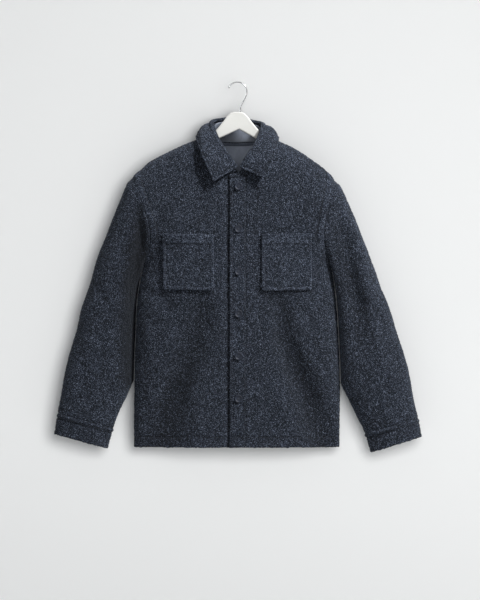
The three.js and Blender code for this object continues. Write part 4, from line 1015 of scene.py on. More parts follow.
def make_placket():
    p, _, _ = sampled(placket, 2.0)
    x, z = p[..., 0], p[..., 2]
    edge, seam = bell(x - PLACKET_EDGE_X - STITCH_INSET), bell(x - PLACKET_SEAM_X + 3.2, 1.5)
    hem = bell(z - HEM_Z - HEM_STITCH, 2.4)
    pitch = (z - BUTTON_TOP_Z + BUTTON_PITCH / 2) % BUTTON_PITCH - BUTTON_PITCH / 2
    clear = smoothstep(BUTTON_RADIUS + 0.5, BUTTON_RADIUS + 4, np.hypot(x - BUTTON_X, pitch))
    return thin_wall(
        "placket_cloth", p, False, CLOTH, ("top", "start"), ("bottom", "end"),
        seam_sink=0.3, calm=0.0, tufts=0.5,
        relief=clear * (0.7 - 0.9 * edge - 0.7 * seam + 0.9 * value_noise(p, 60.0, 31)) - 1.4 * hem,
        nubs=mix(0.25, 1, clear),
        # painted highlight along the free edge's roll and painted shade along the stitching and the hem, on a
        # slightly paler whole
        pale=0.1 + 0.2 * bell(x - PLACKET_EDGE_X - 2, 3) - 0.3 * edge - 0.3 * seam - 0.6 * hem,
    )


def make_back():
    columns = BACK_COLUMNS
    breaks = [shoulder_break(SIDES["right"], columns) / 2, 0.5, 1 - shoulder_break(SIDES["left"], columns) / 2]
    p, _, _ = sampled(back, 2.55, across=breaks, down=[UNDERARM_ROW])
    x, z = p[..., 0], p[..., 2]
    hem = bell(z - HEM_Z - HEM_STITCH, 2.6)
    lined = (1 - smoothstep(90, 150, np.abs(x))) * smoothstep(-330, -280, z)
    drape = -crease_depth(CREASES["back"], x, z) * (1 - lined)
    return thin_wall(
        "back_cloth", p, False, CLOTH, ("top", "start", "end"), ("bottom",), drape=drape, relief=-1.4 * hem,
        calm=1 - lined, seam_sink=0.8,
        # painted shade along the hem's stitching
        pale=-0.6 * hem,
    )


def make_sleeve(name):
    """The sleeve, calm along its inside where it lies close to the body."""
    side = SIDES[name]
    p, u, v = sampled(sleeve(name), 2.15, across=[0.5])
    front = np.sin(2 * np.pi * u)[None, :]
    x, z = side.sign * p[..., 0], p[..., 2]
    pale = 0.0
    if name == "right":
        inner_x = x[:, np.argmin(np.abs(u - 0.5)), None]
        share = np.interp(z, TUCK.z, TUCK.share) * bell(x - inner_x, np.interp(z, TUCK.z, TUCK.width))
        share = share * smoothstep(0, 25, edge_distances(p)["top"])
        p[..., 1] += TUCK_DEPTH * share
        # painted shade on the front of the tuck, where the sleeve falls back beside the body
        pale = -np.interp(z, TUCK.z, TUCK.shade) * share * smoothstep(-0.1, 0.3, front)
    else:
        valley = line_depth(VALLEYS[name + "_sleeve"], x, z) * np.maximum(0, front)
        p[..., 1] += valley
        # painted shade in the valley
        pale = -0.05 * valley
    rows = CREASES[name + "_sleeve"]
    behind = SimpleNamespace(**vars(rows))
    behind.angle, behind.z = 180 - rows.angle, rows.z - 24
    facing = smoothstep(-0.1, 0.5, front)
    drape = -crease_depth(rows, x, z) * facing - crease_depth(behind, x, z) * (1 - facing)
    beside = bell(u - 0.5, 0.05)[None, :] * smoothstep(-720, -690, z)
    return thin_wall(
        name + "_sleeve_cloth", p, True, CLOTH, ("top", "bottom"), nubs=1 - 0.85 * beside,
        drape=drape * (1 - beside) * mix(0.3, 1, np.abs(front)),
        calm=1 - beside, pale=pale, pull=SLEEVE_PULL, seam_sink=1.0, centre=p.reshape(-1, 3).mean(0),
    )


def make_cuff(name):
    """The doubled cuff, with a ridge and a valley where it is sewn on."""
    p, _, _ = sampled(cuff(name), 2.0, across=[0.5])
    d = edge_distances(p)
    ridge, valley, edge = bell(d["top"] - 5, 3.2), bell(d["top"] - 11, 2.4), bell(d["bottom"] - 4, 4)
    return thin_wall(
        name + "_cuff_cloth", p, True, CUFF_CLOTH, ("top",), ("bottom",),
        pull=SLEEVE_PULL["bottom"], centre=p.reshape(-1, 3).mean(0),
        # painted highlight on the ridge and the lower edge, painted shade in the valley, and the whole cuff a
        # little darker
        relief=1.4 * ridge - 1.6 * valley + 0.5 * edge, pale=0.35 * ridge - 0.7 * valley + 0.25 * edge - 0.1,
    )


def make_band():
    p, _, _ = sampled(band, 2.2)
    sewn, free = ("top", "bottom"), ("start", "end")
    return thin_wall("collar_band_cloth", p, False, CLOTH, sewn, free, nubs=0.15, calm=0.0)


def make_leaf():
    """The leaf, with a soft roll along its edges inside the stitching, and its points lifted off the chest."""
    p, u, v = sampled(leaf, 1.9)
    d = edge_distances(p)
    edge = np.minimum(d["bottom"], np.minimum(d["start"], d["end"]))
    stitch, rim, fade = bell(edge - STITCH_INSET, 1.8), bell(edge - 2.2, 3.2), smoothstep(0, 26, d["top"])
    front = 1 - smoothstep(0.1, 0.32, np.minimum(u, 1 - u))[None, :]
    return thin_wall(
        "collar_leaf_cloth", p, False, LEAF_CLOTH, ("top",), ("bottom", "start", "end"), calm=0.4, tufts=0.5,
        drape=LEAF_LIFT * front * smoothstep(0.3, 1, v)[:, None], relief=(1.0 * rim - 1.5 * stitch) * fade,
        # painted highlight along the rolled rim and painted shade along the stitching, on a whole leaf made a
        # little paler
        pale=0.15 + (0.3 * rim - 0.6 * stitch) * fade, nubs=smoothstep(0, 20, d["top"]),
    )


def make_pocket(name):
    """A patch pocket: turned edges and a deep top hem stand out from a flatter middle."""
    p, u, v = sampled(pocket(name), 1.6)
    d = edge_distances(p)
    side_edge = np.minimum(np.minimum(d["start"], d["end"]), d["bottom"])
    raised = np.maximum(
        1 - smoothstep(POCKET_EDGE - 1, POCKET_EDGE + 2, side_edge),
        1 - smoothstep(POCKET_HEM - 1, POCKET_HEM + 2, d["top"]),
    )
    groove = np.maximum(bell(side_edge - POCKET_EDGE - 1, 1.8), bell(d["top"] - POCKET_HEM - 1, 2.2))
    rim = np.maximum(bell(side_edge - 3, 3), bell(d["top"] - 3, 4))
    return thin_wall(
        name + "_pocket_cloth", p, False, CLOTH, (), ("top", "bottom", "start", "end"), calm=0.0, tufts=0.6,
        relief=POCKET_RELIEF * raised - 0.8 * groove + 0.7 * value_noise(p, 34.0, 41),
        # painted highlight on the raised turned edges and hem, painted shade in the groove inside them
        pale=0.3 * raised + 0.15 * rim - 0.15 * groove,
    )


def inner_piece(name, p, depth, thick, relief=0.0, centre=None):
    """A thin layer inside a sewn panel: its points moved in, with rounded edges."""
    centre = np.array([p[..., 0].mean(), 0.0, p[..., 2].mean()]) if centre is None else centre
    n = normals_of(p, False, centre)
    d = edge_distances(p)
    edge = shortest(d, ("top", "bottom", "start", "end"))
    near = depth + relief
    bulge = 0.3 * np.sqrt(np.clip(1 - edge / 1.2, 0, 1))
    inside = p - n * (near + thick - bulge)[..., None]
    outside = (p - n * (near + bulge)[..., None])[::2, ::2]
    quads, triangles = wall_faces(*inside.shape[:2], False)
    return put_mesh(name, np.concatenate([inside.reshape(-1, 3), outside.reshape(-1, 3)]), quads, triangles)


def make_facing():
    first, last = BAND_AT[FACING_FROM + 1], BAND_AT[-FACING_FROM - 2]
    p, _, _ = sampled(band, 2.0, span=((first, last), (0, 1)))
    p = pulled_back(p, ("top", "bottom"), SEAM_GAP)
    return inner_piece("band_facing_cloth", p, np.full(p.shape[:2], CLOTH + LAYER_GAP), LINING_CLOTH)


def make_lining():
    """The lining that shows inside the back neck, with the soft pleat at its centre."""
    start = (float(SIDES["right"].edge_at(HEM_Z)) - 90) / float(SIDES["right"].edge_at(HEM_Z)) / 2
    p, _, _ = sampled(back, 1.8, across=[0.5], span=((start, 1 - start), (0, UNDERARM_ROW * LINING_SHARE)))
    p = pulled_back(p, ("top",), SEAM_GAP)
    x, z = p[..., 0], p[..., 2]
    down = smoothstep(-150, -185, z)
    pleat = 2.2 * np.exp(-(((x - 1.5) / mix(3.0, 16.0, down)) ** 2)) * (1 - 0.6 * down)
    pleat += 0.8 * np.exp(-(((x + 9) / 6) ** 2)) * smoothstep(-150, -170, z)
    relief = np.maximum(pleat + 0.5 * value_noise(p, 22.0, 51), 0) * smoothstep(8, 18, edge_distances(p)["top"])
    return inner_piece("back_lining_cloth", p, CLOTH + LAYER_GAP + 0 * x, LINING_CLOTH, relief)


def make_tape():
    """The tape over the seam of band and lining, which follows the back neckline."""

    def surface(u, v):
        x = mix(-TAPE_HALF, TAPE_HALF, u)
        z = back_neck_z(np.abs(x)) - TAPE_HEIGHT * v
        right = body_point(SIDES["right"], np.abs(x), z, "back")
        left = body_point(SIDES["left"], np.abs(x), z, "back")
        return np.where((x < 0)[..., None], right, left)

    p, _, _ = sampled(surface, 1.2)
    depth = CLOTH + LINING_CLOTH + 2 * LAYER_GAP
    return inner_piece("neck_tape_cloth", p, np.full(p.shape[:2], depth), TAPE_CLOTH)


# Stitches, buttons and hook

STITCH_LENGTH = 3.3
STITCH_PITCH = 4.6
THREAD = 0.42  # radius


def lozenges(middle, along, up, length, radius, arch):
    """Many short threads as one mesh: each is three rings of six and a point at both ends, arched along up."""
    side = np.cross(along, up)
    t = np.array([0.0, 0.18, 0.5, 0.82, 1.0])
    size = np.array([0.0, 0.8, 1.0, 0.8, 0.0])
    turn = np.linspace(0, 2 * np.pi, 7)[:-1]
    spine = (
        middle[:, None] + along[:, None] * ((t - 0.5) * length)[None, :, None]
        + up[:, None] * (arch * np.sin(np.pi * t))[None, :, None]
    )
    around = up[:, None] * np.cos(turn)[None, :, None] + side[:, None] * np.sin(turn)[None, :, None]
    rings = spine[:, 1:4, None] + around[:, None] * (radius * size[1:4])[None, :, None, None]
    each = np.concatenate([rings.reshape(len(middle), 18, 3), spine[:, [0]], spine[:, [4]]], 1)
    k, after = np.arange(6), (np.arange(6) + 1) % 6
    quads = np.concatenate([
        np.stack([r * 6 + k, r * 6 + after, r * 6 + 6 + after, r * 6 + 6 + k], -1) for r in (0, 1)
    ])
    ends = np.concatenate([
        np.stack([0 * k + 18, after, k], -1),
        np.stack([0 * k + 19, 12 + k, 12 + after], -1),
    ])
    shift = (np.arange(len(middle)) * 20)[:, None, None]
    return each.reshape(-1, 3), (quads[None] + shift).reshape(-1, 4), (ends[None] + shift).reshape(-1, 3)


def joined(name, parts):
    """One mesh of several arrays of corners and faces."""
    verts, quads, triangles, count = [], [], [], 0
    for v, q, t in parts:
        verts.append(v)
        quads.append(q + count)
        triangles.append(t + count)
        count += len(v)
    return put_mesh(name, np.concatenate(verts), np.concatenate(quads), np.concatenate(triangles))


def seam_line(place, normal, t, lift):
    """Evenly spaced stitches along a path on a surface, each turned along the path."""
    path = place(t)
    run = np.concatenate([[0], np.cumsum(np.linalg.norm(np.diff(path, axis=0), axis=1))])
    at = np.interp(np.arange(STITCH_PITCH / 2, run[-1], STITCH_PITCH), run, t)
    half = (t[-1] - t[0]) * STITCH_LENGTH / run[-1] / 2
    along = place(at + half) - place(at - half)
    along /= np.linalg.norm(along, axis=1, keepdims=True)
    up = normal(at)
    up = up - along * np.einsum("ij,ij->i", up, along)[:, None]
    up /= np.linalg.norm(up, axis=1, keepdims=True)
    return lozenges(place(at) + up * lift, along, up, STITCH_LENGTH, THREAD, 0.25)


def surface_line(surface, u_of, v_of, centre, lift):
    """Stitches along a path given by a surface's own parameters."""

    def place(t):
        return surface(u_of(t), v_of(t))

    def normal(t):
        step = 1e-3
        u, v = u_of(t), v_of(t)
        du = surface(u + step, v) - surface(u - step, v)
        dv = surface(u, v + step) - surface(u, v - step)
        n = np.cross(du, dv)
        n /= np.maximum(np.linalg.norm(n, axis=1, keepdims=True), 1e-9)
        return np.where((np.einsum("ij,ij->i", n, place(t) - centre) > 0)[:, None], n, -n)

    return seam_line(place, normal, np.linspace(0, 1, 400), lift)


def body_line(side, face, x_of, z_of, lift):
    """Stitches along a path in the front view, on a body panel."""
    place = lambda t: body_point(side, x_of(t), z_of(t), face)
    normal = lambda t: body_normal(side, x_of(t), z_of(t), face)
    return seam_line(place, normal, np.linspace(0, 1, 400), lift)


def const(value):
    return lambda t: np.full(np.shape(t), float(value))


def run(a, b):
    return lambda t: mix(a, b, np.asarray(t, float))


def body_stitches():
    """Along the hem, beside both armholes and down the placket."""
    lines = []
    for name, side in SIDES.items():
        near = 24.0 if name == "right" else 21.0
        hem = const(HEM_Z + HEM_STITCH)
        lines.append(body_line(side, "front", run(near, side.edge_at(HEM_Z) * 0.985), hem, -0.6))
        lines.append(body_line(side, "back", run(1, side.edge_at(HEM_Z) * 0.985), hem, -0.6))
        share = run(0.03, 0.66)
        lines.append(body_line(
            side, "front",
            lambda t, s=side, k=share: armhole(s, k(t), "front")[0] - WELT_WIDTH + 2,
            lambda t, s=side, k=share: armhole(s, k(t), "front")[1], -1.0,
        ))
    left = SIDES["left"]
    lines.append(body_line(left, "front", const(PLACKET_EDGE_X + STITCH_INSET), run(-236, HEM_Z + 4), 0.3))
    lines.append(body_line(left, "front", const(PLACKET_SEAM_X - 3.2), run(-226, HEM_Z + 4), 0.5))
    placket_hem = run(PLACKET_EDGE_X + 3, PLACKET_SEAM_X - 4)
    lines.append(body_line(left, "front", placket_hem, const(HEM_Z + HEM_STITCH), 0.0))
    return joined("body_stitches", lines)


def pocket_stitches(name):
    shape = POCKETS[name]
    height = shape.top - shape.bottom
    side_u, foot_v, hem_v = POCKET_EDGE / shape.width, 1 - POCKET_EDGE / height, POCKET_HEM / height
    centre = np.array([SIDES[name].sign * shape.x, 0.0, (shape.top + shape.bottom) / 2])
    paths = [
        (const(side_u), run(0.02, foot_v)), (const(1 - side_u), run(0.02, foot_v)),
        (run(side_u, 1 - side_u), const(foot_v)), (run(0.02, 0.98), const(hem_v)),
    ]
    surface = pocket(name)
    return joined(name + "_pocket_stitches", [surface_line(surface, u, v, centre, -0.1) for u, v in paths])


def collar_stitches():
    """Parallel to the leaf's three free edges."""
    p = leaf(*np.meshgrid(np.linspace(0, 1, 200), np.linspace(0, 1, 200)))
    d = edge_distances(p)
    wide, deep = d["start"][100:, -1].mean(), d["top"][-1].mean()
    inset_u, inset_v = STITCH_INSET / wide, 1 - STITCH_INSET / deep
    centre = np.array([0.0, 0.0, -150.0])
    paths = [
        (run(inset_u, 1 - inset_u), const(inset_v)),
        (const(inset_u), run(0.42, inset_v)), (const(1 - inset_u), run(0.42, inset_v)),
    ]
    return joined("collar_stitches", [surface_line(leaf, u, v, centre, -0.3) for u, v in paths])


def cuff_stitches(name):
    surface = cuff(name)
    centre = surface(*np.meshgrid(np.linspace(0, 1, 40), np.linspace(0, 1, 8))).reshape(-1, 3).mean(0)
    line = surface_line(surface, run(0.004, 0.996), const(0.19), centre, -0.3)
    return joined(name + "_cuff_stitches", [line])


def make_button(i):
    """A sewn-through button: a lathe profile in polar rows, with four sunk holes round its middle."""
    z = BUTTON_TOP_Z - i * BUTTON_PITCH
    side = SIDES["left"]
    base = body_point(side, np.float64(BUTTON_X), np.float64(z), "front")
    out = body_normal(side, np.float64(BUTTON_X), np.float64(z), "front")
    profile = table(
        "out up",
        (0.02, 0.55), (0.16, 0.55), (0.3, 0.55), (0.44, 0.56), (0.56, 0.58), (0.64, 0.66), (0.71, 0.84),
        (0.78, 0.96), (0.85, 1.0), (0.92, 0.95), (0.975, 0.8), (1.0, 0.55), (0.985, 0.28), (0.93, 0.08),
        (0.84, 0.0), (0.5, 0.0), (0.02, 0.0),
    )
    t = np.linspace(0, 1, 90)
    at = chord(np.stack([profile.out * BUTTON_RADIUS, profile.up * BUTTON_HEIGHT], -1))
    r = smooth_curve(at, profile.out)(t) * BUTTON_RADIUS
    up = smooth_curve(at, profile.up)(t) * BUTTON_HEIGHT
    turn = np.linspace(0, 2 * np.pi, 65)[:-1]
    a, b = r[:, None] * np.cos(turn), r[:, None] * np.sin(turn)
    hole = np.min([np.hypot(a - dx, b - dy) for dx in (-1.7, 1.7) for dy in (-1.7, 1.7)], axis=0)
    is_top = (t < 0.45)[:, None]
    c = up[:, None] - 1.3 * (1 - smoothstep(0.7, 1.15, hole)) * is_top
    east = np.array([1.0, 0.0, 0.0]) - out * out[0]
    east /= np.linalg.norm(east)
    north = np.cross(out, east)
    middle = base + out * (SEAM_GAP + 0.9)
    grid = middle + a[..., None] * east + b[..., None] * north + c[..., None] * out
    rows, columns = grid.shape[:2]
    k = np.arange(rows * columns).reshape(rows, columns)
    k = np.concatenate([k, k[:, :1]], 1)
    quads = np.stack([k[:-1, :-1], k[1:, :-1], k[1:, 1:], k[:-1, 1:]], -1).reshape(-1, 4)
    poles = rows * columns
    caps = np.concatenate([
        np.stack([np.full(columns, poles), k[0, :-1], k[0, 1:]], -1),
        np.stack([np.full(columns, poles + 1), k[-1, 1:], k[-1, :-1]], -1),
    ])
    tips = np.stack([middle + out * up[0], middle + out * up[-1]])
    disc = put_mesh(f"button_{i + 1}_resin", np.concatenate([grid.reshape(-1, 3), tips]), quads, caps)
    ways = np.stack([(east + north) / math.sqrt(2), (east - north) / math.sqrt(2)])
    two = np.repeat(middle[None] + out * (up[0] + 0.35), 2, 0)
    parts = []
    for shift in (-0.32, 0.32):
        beside = np.stack([ways[1], ways[0]]) * shift
        parts.append(lozenges(two + beside, ways, np.repeat(out[None], 2, 0), 5.0, 0.34, 0.35))
    return disc, joined(f"button_{i + 1}_thread", parts)


def make_buttonholes():
    """A vertical buttonhole under each button, purled all round: short stitches set across a long loop."""
    side = SIDES["left"]
    t = np.linspace(0, 2 * np.pi, 71)[:-1]
    parts = []
    for i in range(BUTTON_COUNT):
        x = BUTTON_X + 1.5 * np.cos(t) ** 3 + 0.25 * np.cos(t)
        z = BUTTON_TOP_Z - i * BUTTON_PITCH + 12.2 * np.sin(t)
        place, up = body_point(side, x, z, "front"), body_normal(side, x, z, "front")
        across = points(np.cos(t) + 1e-3, 0, 0.25 * np.sin(t))
        across /= np.linalg.norm(across, axis=1, keepdims=True)
        across -= up * np.einsum("ij,ij->i", across, up)[:, None]
        across /= np.linalg.norm(across, axis=1, keepdims=True)
        parts.append(lozenges(place + up * 0.45, across, up, 1.9, 0.3, 0.3))
    return joined("buttonholes", parts)


def make_hook():
    """A round wire along the hook's line: up from the socket, over to the right and round the crest, with
    a small ball at the tip."""
    centre_z = HOOK.wire - HOOK.radius
    turn = np.radians(np.linspace(HOOK.start, HOOK.tip, 11))
    rim = points(HOOK.centre_x + HOOK.radius * np.cos(turn), 0, centre_z + HOOK.radius * np.sin(turn))
    shaft = points(HOOK.shaft_x + HOOK_SHAFT.out, 0, HOOK_SHAFT.z)
    knots = np.concatenate([shaft, rim])
    line = smooth_curve(chord(knots), knots)
    t = np.concatenate([np.linspace(0, 0.97, 150), np.linspace(0.97, 1, 24)[1:]])
    spine = line(t)
    along = np.gradient(spine, axis=0)
    along /= np.linalg.norm(along, axis=1, keepdims=True)
    flat = np.array([0.0, 1.0, 0.0])
    side = np.cross(along, flat)
    left = (1 - t) * np.linalg.norm(np.diff(knots, axis=0), axis=1).sum()
    ball = np.sqrt(np.clip(1 - ((left - 2.1) / 2.2) ** 2, 0, None)) * 2.2
    wire = HOOK.wire * 0.82
    radius = np.where(left < 2.1, ball, np.maximum(wire, ball))
    radius[0], radius[-1] = wire * 0.9, 0.15
    around = np.linspace(0, 2 * np.pi, 21)[:-1]
    ring = flat * np.cos(around)[:, None] + side[:, None] * np.sin(around)[None, :, None]
    grid = spine[:, None] + ring * radius[:, None, None]
    rows, columns = grid.shape[:2]
    k = np.arange(rows * columns).reshape(rows, columns)
    k = np.concatenate([k, k[:, :1]], 1)
    quads = np.stack([k[:-1, :-1], k[1:, :-1], k[1:, 1:], k[:-1, 1:]], -1).reshape(-1, 4)
    poles = rows * columns
    caps = np.concatenate([
        np.stack([np.full(columns, poles), k[0, :-1], k[0, 1:]], -1),
        np.stack([np.full(columns, poles + 1), k[-1, 1:], k[-1, :-1]], -1),
    ])
    tips = np.stack([spine[0], spine[-1] + along[-1] * 0.1])
    return put_mesh("hook_wire", np.concatenate([grid.reshape(-1, 3), tips]), quads, caps)


# Materials


def colour(code):
    """An sRGB hex colour as linear red, green, blue and alpha."""
    channels = np.array([int(code[i : i + 2], 16) for i in (0, 2, 4)]) / 255
    linear = np.where(channels <= 0.04045, channels / 12.92, ((channels + 0.055) / 1.055) ** 2.4)
    return (*linear, 1.0)


def add(tree, kind, links=None, **settings):
    """One node with its settings, and its sockets set or linked."""
    made = tree.nodes.new(kind)
    for key, value in settings.items():
        setattr(made, key, value)
    for key, value in (links or {}).items():
        if isinstance(value, bpy.types.NodeSocket):
            tree.links.new(value, made.inputs[key])
        else:
            made.inputs[key].default_value = value
    return made


def new_material(name):
    """A material with nothing in it but its output."""
    made = bpy.data.materials.new(name)
    made.use_nodes = True
    tree = made.node_tree
    tree.nodes.clear()
    return made, tree, tree.nodes.new("ShaderNodeOutputMaterial")


def ramp(tree, value, stops):
    made = add(tree, "ShaderNodeValToRGB", {"Fac": value})
    elements = made.color_ramp.elements
    for i, (at, code) in enumerate(stops):
        element = elements[i] if i < 2 else elements.new(at)
        element.position, element.color = at, colour(code)
    return made.outputs["Color"]


def per_mm(size):
    """The scale of a pattern that repeats about every so many millimetres."""
    return 1 / (size * MM)


def boucle(name, lift=0.0):
    """Navy boucle wool: a loopy yarn of dark navy and paler blue-grey fibres, woven and fulled. It gives
    rounded curls over dark gaps, pale flecks, a nubby surface with no shine, and a soft bloom at its edges."""
    made, tree, out = new_material(name)
    place = add(tree, "ShaderNodeTexCoord").outputs["Object"]
    warp = add(tree, "ShaderNodeTexNoise", {"Vector": place, "Scale": per_mm(4.5), "Detail": 1.0})
    bent = add(
        tree, "ShaderNodeVectorMath",
        {0: warp.outputs["Color"], 1: (0.003,) * 3, 2: place}, operation="MULTIPLY_ADD",
    ).outputs[0]

    def loops(size, period, shift):
        """Rounded yarns with thin gaps, which curl round the tops and hollows of a noise."""
        moved = add(tree, "ShaderNodeVectorMath", {0: bent, 1: (shift,) * 3}, operation="ADD").outputs[0]
        field = add(tree, "ShaderNodeTexNoise", {"Vector": moved, "Scale": per_mm(size), "Detail": 0.0})
        turn = math_node("MULTIPLY", field.outputs["Fac"], math.pi / period)
        return math_node("ABSOLUTE", math_node("SINE", turn))

    def math_node(operation, *values):
        return add(tree, "ShaderNodeMath", dict(enumerate(values)), operation=operation).outputs[0]

    def noise(size, detail):
        links = {"Vector": place, "Scale": per_mm(size), "Detail": detail}
        return add(tree, "ShaderNodeTexNoise", links).outputs["Fac"]

    finer = math_node("MULTIPLY", loops(2.6, 0.22, 3.1), 0.5)
    curl = math_node("MULTIPLY_ADD", loops(4.0, 0.2, 0.0), 0.5, finer)
    speck = add(
        tree, "ShaderNodeMapRange",
        {"Value": noise(1.7, 1.0), "From Min": 0.46, "From Max": 0.7}, interpolation_type="SMOOTHSTEP",
    ).outputs["Result"]
    fibre = noise(0.9, 2.0)
    crest = add(tree, "ShaderNodeAttribute", attribute_name="crest").outputs["Fac"]
    # the crest attribute brings the curls together with each piece's painted shade and painted highlight; lift
    # makes a lighter copy of the wool
    tone = math_node("MULTIPLY_ADD", crest, 0.14, lift - 0.245)
    tone = math_node("MULTIPLY_ADD", curl, 0.38, tone)
    tone = math_node("MULTIPLY_ADD", math_node("MULTIPLY", speck, curl), 0.72, tone)
    tone = math_node("MULTIPLY_ADD", fibre, 0.3, tone)
    tone = math_node("MULTIPLY_ADD", noise(45, 1.0), 0.06, tone)
    base = ramp(tree, tone, [(0.16, "06080d"), (0.37, "181e28"), (0.6, "363f50"), (1.0, "919bb0")])
    height = add(tree, "ShaderNodeMath", {0: curl, 1: 1.6, 2: fibre}, operation="MULTIPLY_ADD")
    bump = add(
        tree, "ShaderNodeBump", {"Height": height.outputs[0], "Strength": 0.8, "Distance": 0.0012}
    ).outputs["Normal"]
    cloth = add(tree, "ShaderNodeBsdfPrincipled", {
        "Base Color": base, "Normal": bump, "Roughness": 0.92, "IOR": 1.5, "Specular IOR Level": 0.25,
        "Sheen Weight": 0.22, "Sheen Roughness": 0.45, "Sheen Tint": colour("8f99aa"),
    })
    tree.links.new(cloth.outputs[0], out.inputs["Surface"])
    return made


def lining_satin(name, code, dark):
    """Viscose lining in a fine twill: it lies smooth, with a faint slant of threads and a soft sheen. The
    twill, really 0.4 mm, is drawn at 1.4 mm so that it shows."""
    made, tree, out = new_material(name)
    place = add(tree, "ShaderNodeTexCoord").outputs["Object"]
    slant = add(
        tree, "ShaderNodeTexWave", {"Vector": place, "Scale": per_mm(1.4) / 4, "Distortion": 0.6},
        bands_direction="DIAGONAL",
    ).outputs["Fac"]
    cloudy = add(tree, "ShaderNodeTexNoise", {"Vector": place, "Scale": per_mm(14), "Detail": 3.0}).outputs["Fac"]
    tone = add(tree, "ShaderNodeMath", {0: slant, 1: 0.25, 2: cloudy}, operation="MULTIPLY_ADD").outputs[0]
    base = ramp(tree, tone, [(0.3, dark), (0.95, code)])
    bump = add(tree, "ShaderNodeBump", {"Height": slant, "Strength": 0.25, "Distance": 0.0002}).outputs["Normal"]
    cloth = add(tree, "ShaderNodeBsdfPrincipled", {
        "Base Color": base, "Normal": bump, "Roughness": 0.5, "IOR": 1.5,
        "Sheen Weight": 0.15, "Sheen Tint": colour("aab2c0"),
    })
    tree.links.new(cloth.outputs[0], out.inputs["Surface"])
    return made


def woven_tape(name):
    """Cotton tape: close ribs across its width, matt and dark."""
    made, tree, out = new_material(name)
    place = add(tree, "ShaderNodeTexCoord").outputs["Object"]
    ribs = add(tree, "ShaderNodeTexWave", {"Vector": place, "Scale": per_mm(1.1) / 4}).outputs["Fac"]
    base = ramp(tree, ribs, [(0.2, "4b515d"), (0.9, "6e7687")])
    bump = add(tree, "ShaderNodeBump", {"Height": ribs, "Strength": 0.5, "Distance": 0.0003}).outputs["Normal"]
    cloth = add(tree, "ShaderNodeBsdfPrincipled", {
        "Base Color": base, "Normal": bump, "Roughness": 0.85, "IOR": 1.5,
    })
    tree.links.new(cloth.outputs[0], out.inputs["Surface"])
    return made


def spun_thread(name):
    """Polyester sewing thread: two twisted plies, a little brighter than the wool it lies on."""
    made, tree, out = new_material(name)
    place = add(tree, "ShaderNodeTexCoord").outputs["Object"]
    twist = add(
        tree, "ShaderNodeTexWave", {"Vector": place, "Scale": per_mm(0.8) / 4}, bands_direction="DIAGONAL"
    ).outputs["Fac"]
    base = ramp(tree, twist, [(0.2, "1d212b"), (0.9, "3c4453")])
    bump = add(tree, "ShaderNodeBump", {"Height": twist, "Strength": 0.5, "Distance": 0.0001}).outputs["Normal"]
    thread = add(tree, "ShaderNodeBsdfPrincipled", {
        "Base Color": base, "Normal": bump, "Roughness": 0.6, "IOR": 1.5, "Sheen Weight": 0.1,
    })
    tree.links.new(thread.outputs[0], out.inputs["Surface"])
    return made


def cast_resin(name):
    """Polyester button resin, cast with a cloudy swirl and polished: a dark navy disc with a soft highlight."""
    made, tree, out = new_material(name)
    place = add(tree, "ShaderNodeTexCoord").outputs["Object"]
    swirl = add(
        tree, "ShaderNodeTexNoise", {"Vector": place, "Scale": per_mm(6), "Detail": 3.0, "Distortion": 1.6}
    ).outputs["Fac"]
    base = ramp(tree, swirl, [(0.35, "161b27"), (0.7, "262e3f")])
    gloss = add(
        tree, "ShaderNodeMapRange", {"Value": swirl, "To Min": 0.42, "To Max": 0.6}
    ).outputs["Result"]
    resin = add(tree, "ShaderNodeBsdfPrincipled", {"Base Color": base, "Roughness": gloss, "IOR": 1.45})
    tree.links.new(resin.outputs[0], out.inputs["Surface"])
    return made


def lacquered_wood(name):
    """White lacquer sprayed on a wooden hanger: nearly smooth, with a faint orange-peel and a satin gloss."""
    made, tree, out = new_material(name)
    place = add(tree, "ShaderNodeTexCoord").outputs["Object"]
    peel = add(tree, "ShaderNodeTexNoise", {"Vector": place, "Scale": per_mm(2.2), "Detail": 1.0}).outputs["Fac"]
    cloudy = add(tree, "ShaderNodeTexNoise", {"Vector": place, "Scale": per_mm(60), "Detail": 2.0}).outputs["Fac"]
    base = ramp(tree, cloudy, [(0.3, "d2d2ce"), (0.7, "d9d9d5")])
    bump = add(tree, "ShaderNodeBump", {"Height": peel, "Strength": 0.06, "Distance": 0.0002}).outputs["Normal"]
    lacquer = add(tree, "ShaderNodeBsdfPrincipled", {
        "Base Color": base, "Normal": bump, "Roughness": 0.38, "IOR": 1.5,
        "Coat Weight": 0.15, "Coat Roughness": 0.2,
    })
    tree.links.new(lacquer.outputs[0], out.inputs["Surface"])
    return made


def plated_steel(name):
    """Nickel-plated steel wire, drawn and then plated: bright, with a slight haze."""
    made, tree, out = new_material(name)
    place = add(tree, "ShaderNodeTexCoord").outputs["Object"]
    haze = add(tree, "ShaderNodeTexNoise", {"Vector": place, "Scale": per_mm(1.5), "Detail": 3.0}).outputs["Fac"]
    gloss = add(tree, "ShaderNodeMapRange", {"Value": haze, "To Min": 0.16, "To Max": 0.34}).outputs["Result"]
    base = ramp(tree, haze, [(0.3, "b9bbbd"), (0.7, "cfd0d1")])
    wire = add(tree, "ShaderNodeBsdfPrincipled", {"Base Color": base, "Roughness": gloss, "Metallic": 1.0})
    tree.links.new(wire.outputs[0], out.inputs["Surface"])
    return made


def matt_paint(name):
    """The pale wall and floor. Its back can't be seen, so that it doesn't hide the garment from behind."""
    made, tree, out = new_material(name)
    paint = add(tree, "ShaderNodeBsdfDiffuse", {"Color": colour("eff0f0")})
    clear = add(tree, "ShaderNodeBsdfTransparent")
    behind = add(tree, "ShaderNodeNewGeometry").outputs["Backfacing"]
    both = add(tree, "ShaderNodeMixShader", {"Fac": behind, 1: paint.outputs[0], 2: clear.outputs[0]})
    tree.links.new(both.outputs[0], out.inputs["Surface"])
    return made


# Putting it together

WOOL = boucle("boucle_wool")
